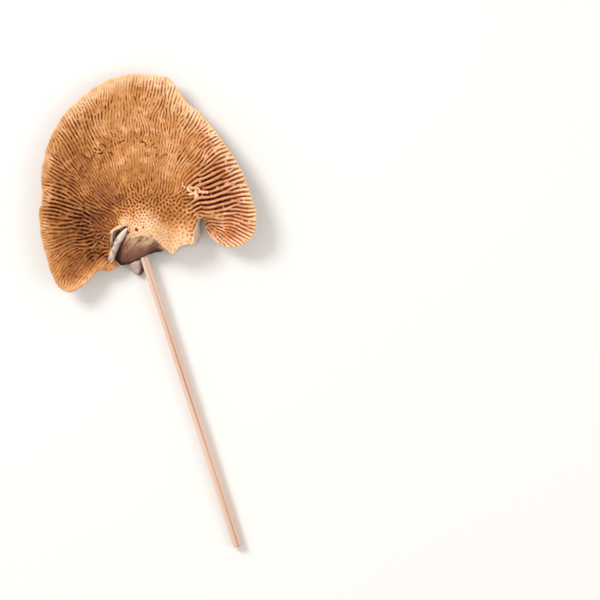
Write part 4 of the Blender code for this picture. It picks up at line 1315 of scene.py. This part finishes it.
def fungus_material():
    """Dried bracket fungus. Its flesh dries to cork, so it is matt and gives no gloss. The walls of the
    gills are orange-tan with cream tops that also carry a painted highlight, browner on the left lobe and
    paler at the rim, and the grooves between them go to dark brown, partly their own colour and partly
    painted shade. Its back is felted skin in grey and tan zones. Torn flesh is grey."""
    made, tree, shader = new_material("dried_bracket_fungus", 0.85, 0.25)
    place = add(tree, "ShaderNodeTexCoord").outputs["Object"]
    read = {}
    for key in PLAIN_VALUES:
        read[key] = add(tree, "ShaderNodeAttribute", attribute_name=key).outputs["Fac"]
    # Blotches of 4 mm, and the felt's grain of 0.5 mm, coarser than the real hyphae so that it shows.
    blotch = add(
        tree, "ShaderNodeTexNoise", [(place, "Vector")],
        inputs=[("Scale", 1 / (4 * MM)), ("Detail", 3.0), ("Roughness", 0.6)],
    )
    felt = add(
        tree, "ShaderNodeTexNoise", [(place, "Vector")],
        inputs=[("Scale", 1 / (0.5 * MM)), ("Detail", 3.0), ("Roughness", 0.6)],
    )
    shift = add(
        tree, "ShaderNodeMapRange", [(blotch.outputs[0], "Value")],
        inputs=[("From Min", 0.3), ("From Max", 0.7), ("To Min", -0.08), ("To Max", 0.08)],
    )
    tone = add(tree, "ShaderNodeMath", [(read["tone"], 0), (shift.outputs[0], 1)], operation="ADD")
    # The tops of the walls, their flanks and the grooves between them: the tops carry a painted highlight and
    # the grooves painted shade as well as their own colours.
    top = add(tree, "ShaderNodeValToRGB", [(tone.outputs[0], "Fac")], stops=TOP_COLOURS)
    flank = add(tree, "ShaderNodeValToRGB", [(tone.outputs[0], "Fac")], stops=FLANK_COLOURS)
    deep = add(tree, "ShaderNodeValToRGB", [(read["dark"], "Fac")], stops=GROOVE_COLOURS)
    crest_highlight = add(
        tree, "ShaderNodeMapRange", [(read["ridge"], "Value")],
        inputs=[("From Min", 0.68), ("From Max", 0.98)], interpolation_type="SMOOTHSTEP",
    )
    low = add(
        tree, "ShaderNodeMapRange", [(read["ridge"], "Value")],
        inputs=[("From Min", 0.5), ("From Max", 0.2)], interpolation_type="SMOOTHSTEP",
    )
    walls = add(
        tree, "ShaderNodeMix",
        [(crest_highlight.outputs[0], FACTOR), (flank.outputs[0], COLOUR_A), (top.outputs[0], COLOUR_B)],
        data_type="RGBA",
    )
    gills = add(
        tree, "ShaderNodeMix",
        [(low.outputs[0], FACTOR), (walls.outputs[MIXED], COLOUR_A), (deep.outputs[0], COLOUR_B)],
        data_type="RGBA",
    )
    # Patches of 2.5 mm that are a little yellower or pinker than the rest.
    patch = add(
        tree, "ShaderNodeTexNoise", [(place, "Vector")],
        inputs=[("Scale", 1 / (2.5 * MM)), ("Detail", 2.0), ("Roughness", 0.5)],
    )
    hue = add(tree, "ShaderNodeValToRGB", [(patch.outputs[0], "Fac")], stops=PATCH_COLOURS)
    patchy = add(
        tree, "ShaderNodeMix", [(gills.outputs[MIXED], COLOUR_A), (hue.outputs[0], COLOUR_B)],
        inputs=[(FACTOR, 1.0)], data_type="RGBA", blend_type="MULTIPLY",
    )
    paler = add(
        tree, "ShaderNodeMix", [(read["pink"], FACTOR), (patchy.outputs[MIXED], COLOUR_A)],
        inputs=[(COLOUR_B, linear(PINK_FLESH))], data_type="RGBA", blend_type="MULTIPLY",
    )
    # Torn flesh, and the skin of the back.
    torn = add(tree, "ShaderNodeValToRGB", [(tone.outputs[0], "Fac")], stops=TORN_COLOURS)
    flesh = add(
        tree, "ShaderNodeMix",
        [(read["grey"], FACTOR), (paler.outputs[MIXED], COLOUR_A), (torn.outputs[0], COLOUR_B)],
        data_type="RGBA",
    )
    zones = add(tree, "ShaderNodeValToRGB", [(read["place"], "Fac")], stops=ZONE_COLOURS)
    matted = add(
        tree, "ShaderNodeMix", [(felt.outputs[0], FACTOR), (zones.outputs[0], COLOUR_A)],
        inputs=[(COLOUR_B, linear(FELT_SHADE))], data_type="RGBA", blend_type="MULTIPLY",
    )
    colour = add(
        tree, "ShaderNodeMix",
        [(read["skin"], FACTOR), (flesh.outputs[MIXED], COLOUR_A), (matted.outputs[MIXED], COLOUR_B)],
        data_type="RGBA",
    )
    tree.links.new(colour.outputs[MIXED], shader.inputs["Base Color"])
    rough = add(
        tree, "ShaderNodeBump", [(felt.outputs[0], "Height")],
        inputs=[("Strength", 0.3), ("Distance", 0.1 * MM)],
    )
    tree.links.new(rough.outputs[0], shader.inputs["Normal"])
    return made


def torn_material():
    """Torn fungus flesh: cream where it breaks from the gill side, then grey-brown felted fibres that were
    pulled apart, and a dark crust where it met the bark. It is matt."""
    made, tree, shader = new_material("torn_fungus_flesh", 0.9, 0.2)
    place = add(tree, "ShaderNodeTexCoord").outputs["Object"]
    fibre = add(tree, "ShaderNodeAttribute", attribute_name="fibre").outputs["Fac"]
    slope = add(tree, "ShaderNodeAttribute", attribute_name="slope").outputs["Fac"]
    # Fibre bundles of 0.7 mm, coarser than the real ones so that they show.
    grain = add(
        tree, "ShaderNodeTexNoise", [(place, "Vector")],
        inputs=[("Scale", 1 / (0.7 * MM)), ("Detail", 4.0), ("Roughness", 0.6)],
    )
    base = add(tree, "ShaderNodeValToRGB", [(slope, "Fac")], stops=SLOPE_COLOURS)
    flecked = add(
        tree, "ShaderNodeMix", [(fibre, FACTOR), (base.outputs[0], COLOUR_B)],
        inputs=[(COLOUR_A, linear(FIBRE_GAPS))], data_type="RGBA",
    )
    # The grain darkens the flecked colour as painted shade between the fibre bundles.
    worn = add(
        tree, "ShaderNodeMix", [(grain.outputs[0], FACTOR), (flecked.outputs[MIXED], COLOUR_A)],
        inputs=[(COLOUR_B, linear(FIBRE_SHADE))], data_type="RGBA", blend_type="MULTIPLY",
    )
    tree.links.new(worn.outputs[MIXED], shader.inputs["Base Color"])
    rough = add(
        tree, "ShaderNodeBump", [(grain.outputs[0], "Height")],
        inputs=[("Strength", 0.4), ("Distance", 0.2 * MM)],
    )
    tree.links.new(rough.outputs[0], shader.inputs["Normal"])
    return made


def wood_material():
    """Bare birch dowel, turned and sanded: pinkish cream, half matt, with straight darker grain lines."""
    made, tree, shader = new_material("bare_birch_dowel", 0.6, 0.4)
    grain = add(tree, "ShaderNodeAttribute", attribute_name="grain").outputs["Fac"]
    end = add(tree, "ShaderNodeAttribute", attribute_name="end").outputs["Fac"]
    base = add(tree, "ShaderNodeValToRGB", [(grain, "Fac")], stops=WOOD_COLOURS)
    cut = add(
        tree, "ShaderNodeMix", [(end, FACTOR), (base.outputs[0], COLOUR_A)],
        inputs=[(COLOUR_B, linear(CUT_END))], data_type="RGBA",
    )
    tree.links.new(cut.outputs[MIXED], shader.inputs["Base Color"])
    return made


def paper_material():
    """Matt white paper, which gives a clean floor with soft shadows."""
    made, tree, shader = new_material("white_paper", 0.9, 0.2)
    shader.inputs["Base Color"].default_value = linear(PAPER)
    return made


def turns(sides):
    """The angles of this many points evenly round a section."""
    return np.linspace(0, 2 * math.pi, sides + 1)[:-1]


def closed_tube(name, rings, values, finish, node):
    """A closed mesh from rings of points, with its two ends filled by a fan. Values are what its material
    reads, one dictionary for each ring."""
    count = len(rings[0])
    numbers = [np.arange(k * count, (k + 1) * count) for k in range(len(rings))]
    quads = []
    for a, b in zip(numbers, numbers[1:]):
        quads.append(np.column_stack([a, np.roll(a, -1), np.roll(b, -1), b]))
    points = np.concatenate([*rings, [rings[0].mean(axis=0)], [rings[-1].mean(axis=0)]])
    fan = np.column_stack([np.roll(numbers[0], -1), numbers[0], np.full(count, len(points) - 2)])
    other = np.column_stack([numbers[-1], np.roll(numbers[-1], -1), np.full(count, len(points) - 1)])
    attributes = {}
    for key in values[0]:
        rows = [entry[key] for entry in values]
        attributes[key] = np.concatenate([*rows, [rows[0].mean()], [rows[-1].mean()]])
    triangles = np.concatenate([fan, other])
    made = mesh_object(name, points, triangles, np.concatenate(quads), attributes, finish)
    made.data.set_sharp_from_angle(angle=math.radians(60))
    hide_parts(node)


def torn_row(share, top, crust, at, fields):
    """A row of the torn face, from its upper edge (share 0) to the crust (share 1): its points, how felted
    its fibres are and how far down the slope its colour lies."""
    row = top + (crust - top) * share
    across = TORN_WIDTH * at
    down = np.full(len(at), TORN_DROP * share)
    fleck = sample(fields["fine"], across, down)
    streak = sample(fields["fine"], across * 1.3 + 0.6 * down - 30, 0.35 * down + 20)
    lump = sample(fields["middling"], across - 20, down)
    swell = math.sin(math.pi * share)
    fibres = FIBRE_RELIEF * fleck + STREAK_RELIEF * streak
    row[:, 2] += TORN_SWELL * swell + fibres * swell + TORN_LUMPS * lump * swell
    row[:, 2] = np.minimum(row[:, 2], top[:, 2] + 0.1)
    felted = np.clip(0.80 + 0.22 * streak - 0.35 * past(fleck, 0.8, 0.6), 0, 1)
    left = before(at, 0.28, 0.28)
    right = past(at, 0.66, 0.1)
    # Its left end is painted darker as shade beside the pale strip, and the dark line along its very left
    # edge is a painted shadow between them.
    slope = 0.85 * share + 0.10 * lump + 0.20 * left + 0.3 * right * past(share, 0, 0.06)
    slope = slope + 0.4 * past(share, 0.9, 0.08) + before(at, 0.03, 0.02)
    return row, felted, np.clip(slope, 0, 1)


def torn_foot(finish, fields):
    """The broken foot: a section carried from left to right. Each section starts inside the flesh, slopes
    down the torn face to the crust, turns under the crust and runs back inside along the belly."""
    at = np.linspace(0, 1, TORN_COLUMNS + 1)
    rows = through(np.linspace(0, 1, len(TORN_FACE)), TORN_FACE, at)
    top = rows[:, 0:3]
    crust = rows[:, 3:6]
    out = (crust - top)[:, :2]
    out /= np.linalg.norm(out, axis=1)[:, None]
    one = np.ones(len(at))
    lines = []
    for inset, sink in TORN_BACK:
        lines.append((np.column_stack([top[:, :2] - out * inset, top[:, 2] - sink]), one, 0 * one))
    for share in np.linspace(0, 0.985, TORN_ROWS):
        lines.append(torn_row(share, top, crust, at, fields))
    ragged = CRUST_RAGGED * sample(fields["broad"], TORN_WIDTH * at, 5 * one)
    for sink, retreat in CRUST_ROWS:
        flat = crust[:, :2] - out * (retreat + ragged[:, None])
        lines.append((np.column_stack([flat, crust[:, 2] - sink + ragged]), 0.8 * one, one))
    for flat in (crust[:, :2] - out * CRUST_INSET, top[:, :2] - out * TORN_BACK[0][0]):
        lines.append((np.column_stack([flat, TORN_BASE * one]), one, one))
    rings, fibres, slopes = ([np.array(ring) for ring in zip(*part)] for part in zip(*lines))
    values = [{"fibre": fibre, "slope": slope} for fibre, slope in zip(fibres, slopes)]
    closed_tube("torn_foot", rings, values, finish, "mushroom_cap")


def foot_strip(finish, fields):
    """The pale strip: an upright oval section carried along its middle line. Its top shows as a band with
    small pits, and its lower part stands in the gap between the wall and the torn face."""
    at = np.linspace(0, 1, STRIP_RINGS)
    path = through(np.linspace(0, 1, len(STRIP)), STRIP, at)
    ahead = np.gradient(path[:, :2], axis=0)
    ahead /= np.linalg.norm(ahead, axis=1)[:, None]
    around = turns(STRIP_SIDES)
    one = np.ones(STRIP_SIDES)
    rings = []
    values = []
    for (x, y, z, half), (step_x, step_y), share in zip(path, ahead, at):
        taper = math.sqrt(max(1 - (2 * share - 1) ** 14, 0.01))
        side = half * taper * np.cos(around)
        rise = STRIP_DEPTH * (np.sin(around) - 1) * taper
        ring = np.column_stack([x + step_y * side, y - step_x * side, z + rise])
        pits = sample(fields["fine"], 12 * share + 0 * side, 6 + 1.6 * side)
        lumps = sample(fields["fine"], 9 * share - 20 + 0 * side, 9 + 2.5 * side)
        ring[:, 2] += 0.08 * lumps - 0.3 * past(pits, 1.1, 0.6)
        rings.append(ring)
        # The strip's sides and underside are painted darker than its top, as shade in the gap, and its small
        # sunk pits are painted darker as shade in them.
        out_of_painted_shade = past(np.sin(around), 0.1, 0.6)
        tone = 0.42 + 0.48 * out_of_painted_shade - 0.30 * past(pits, 1.0, 0.6) + 0.06 * lumps - 0.12 * share
        values.append(fungus_values(STRIP_SIDES, tone=np.clip(tone, 0, 1), grey=one))
    closed_tube("foot_strip", rings, values, finish, "mushroom_cap")


def skin_lump(finish, fields):
    """The tongue of grey skin below the crust: an egg stretched to its half sizes, a little lumpy, narrower
    towards its tip and flat below."""
    around = turns(LUMP_SIDES)
    one = np.ones(LUMP_SIDES)
    pole = math.pi / 2 - 0.02
    rings = []
    values = []
    for rise in np.linspace(-pole, pole, LUMP_RINGS):
        x = np.cos(around) * math.cos(rise)
        y = np.sin(around) * math.cos(rise)
        lumps = sample(fields["middling"], 7 * x, 7 * y + 4 * rise)
        grains = sample(fields["fine"], 6 * x, 6 * y + 5 * rise)
        rough = 1 + 0.03 * lumps + 0.012 * grains
        x = LUMP_HALF_SIZE[0] * x * rough * (0.78 + 0.22 * y)
        y = LUMP_HALF_SIZE[1] * y * rough
        turned_x = LUMP_CENTRE[0] + x * math.cos(LUMP_TURN) - y * math.sin(LUMP_TURN)
        turned_y = LUMP_CENTRE[1] + x * math.sin(LUMP_TURN) + y * math.cos(LUMP_TURN)
        z = np.maximum(LUMP_CENTRE[2] + LUMP_HALF_SIZE[2] * math.sin(rise) * (0.6 + 0.4 * rough), 0.0)
        rings.append(np.column_stack([turned_x, turned_y, z]))
        # The lower right side is painted darker, as shade beside the pick.
        tone = 0.70 - 0.5 * past(x - 0.4 * y, 1.0, 2.5) + 0.04 * lumps + 0.04 * grains
        values.append(fungus_values(LUMP_SIDES, tone=np.clip(tone, 0, 1), grey=one))
    closed_tube("skin_lump", rings, values, finish, "mushroom_cap")


def wooden_pick(finish):
    """The pick: a round section carried along a straight line, a little thicker at the free end, with
    softly rounded ends. Its grain is a few lines that run along it and drift slowly round it."""
    rng = np.random.default_rng(GRAIN_SEED)
    leave = np.array(PICK_EXIT)
    end = np.array([*PICK_END, PICK_RADIUS_AT_END])
    along = (end - leave) / np.linalg.norm(end - leave)
    inner = leave - along * PICK_DEPTH
    side = np.cross(along, [0, 0, 1.0])
    side /= np.linalg.norm(side)
    up = np.cross(side, along)
    around = turns(PICK_SIDES)
    closed = len(PICK_ROUNDING)
    stations = np.concatenate([[0] * closed, np.linspace(*PICK_BARREL, PICK_STATIONS), [1] * closed])
    shrink = np.concatenate([PICK_ROUNDING, np.ones(PICK_STATIONS), PICK_ROUNDING[::-1]])
    strong_place, strong_width, strong_strength = STRONG_GRAIN
    places = np.append(rng.uniform(0, 2 * math.pi, GRAIN_LINES), strong_place)
    widths = np.append(rng.uniform(*GRAIN_WIDTHS, GRAIN_LINES), strong_width)
    strengths = np.append(rng.uniform(*GRAIN_STRENGTHS, GRAIN_LINES), strong_strength)
    drifts = rng.uniform(-GRAIN_DRIFT, GRAIN_DRIFT, (GRAIN_LINES + 1, 2))
    rings = []
    values = []
    for t, size in zip(stations, shrink):
        radius = (PICK_RADIUS_AT_CAP + (PICK_RADIUS_AT_END - PICK_RADIUS_AT_CAP) * t) * size
        grain = np.full(PICK_SIDES, 0.72 + 0.05 * math.sin(11 * t))
        for place, width, strength, (slow, quick) in zip(places, widths, strengths, drifts):
            off = around - place - slow * math.sin(2.5 * t) - quick * 0.3 * math.sin(9 * t)
            off = (off + math.pi) % (2 * math.pi) - math.pi
            grain -= strength * np.exp(-((off / width) ** 2))
        ring = radius * (1 - 0.012 * (1 - grain))
        centre = inner + (end - inner) * t
        rings.append(centre + np.outer(ring * np.cos(around), side) + np.outer(ring * np.sin(around), up))
        at_end = np.full(PICK_SIDES, 1.0 if t in (0, 1) else 0.0)
        values.append({"grain": np.clip(grain, 0, 1), "end": at_end})
    closed_tube("pick_dowel", rings, values, finish, "wooden_pick")


def set_stage():
    """A pale floor, a large soft light from the upper left, a weak one from the right and a white room."""
    mesh = bpy.data.meshes.new("floor")
    signs = ((-1, -1), (1, -1), (1, 1), (-1, 1))
    corners = [(x * FLOOR_HALF, y * FLOOR_HALF, -FLOOR_DROP) for x, y in signs]
    mesh.from_pydata(corners, [], [(0, 1, 2, 3)])
    mesh.materials.append(paper_material())
    floor = bpy.data.objects.new("floor", mesh)
    bpy.context.collection.objects.link(floor)
    for name, place, width, power in LIGHTS:
        light = bpy.data.lights.new(name, "AREA")
        light.shape = "DISK"
        light.size = width
        light.energy = power
        made = bpy.data.objects.new(name, light)
        made.location = place
        made.rotation_euler = (-Vector(place)).to_track_quat("-Z", "Y").to_euler()
        bpy.context.collection.objects.link(made)
    world = bpy.data.worlds.new("white_room")
    world.use_nodes = True
    background = world.node_tree.nodes["Background"]
    background.inputs["Color"].default_value = linear(ROOM_COLOUR)
    background.inputs["Strength"].default_value = ROOM_STRENGTH
    bpy.context.scene.world = world


def set_camera():
    """The photograph's view: straight down, with the cap at the upper left of the frame."""
    data = bpy.data.cameras.new("camera")
    data.sensor_width = SENSOR
    data.lens = SENSOR * (CAMERA_HEIGHT - CAP_LEVEL) / PHOTO_WIDTH
    made = bpy.data.objects.new("camera", data)
    made.location = tuple((FOOT + np.array([*PHOTO_CENTRE, CAMERA_HEIGHT])) * MM)
    bpy.context.collection.objects.link(made)
    bpy.context.scene.camera = made


def main():
    """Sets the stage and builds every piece."""
    set_camera()
    set_stage()
    bpy.context.scene.view_settings.view_transform = "Standard"
    fields = gill_fields()
    fungus = fungus_material()
    for name, first_u, last_u in WEDGES:
        build_wedge(name, first_u, last_u, fields, fungus)
    torn_foot(torn_material(), fields)
    foot_strip(fungus, fields)
    skin_lump(fungus, fields)
    wooden_pick(wood_material())


main()
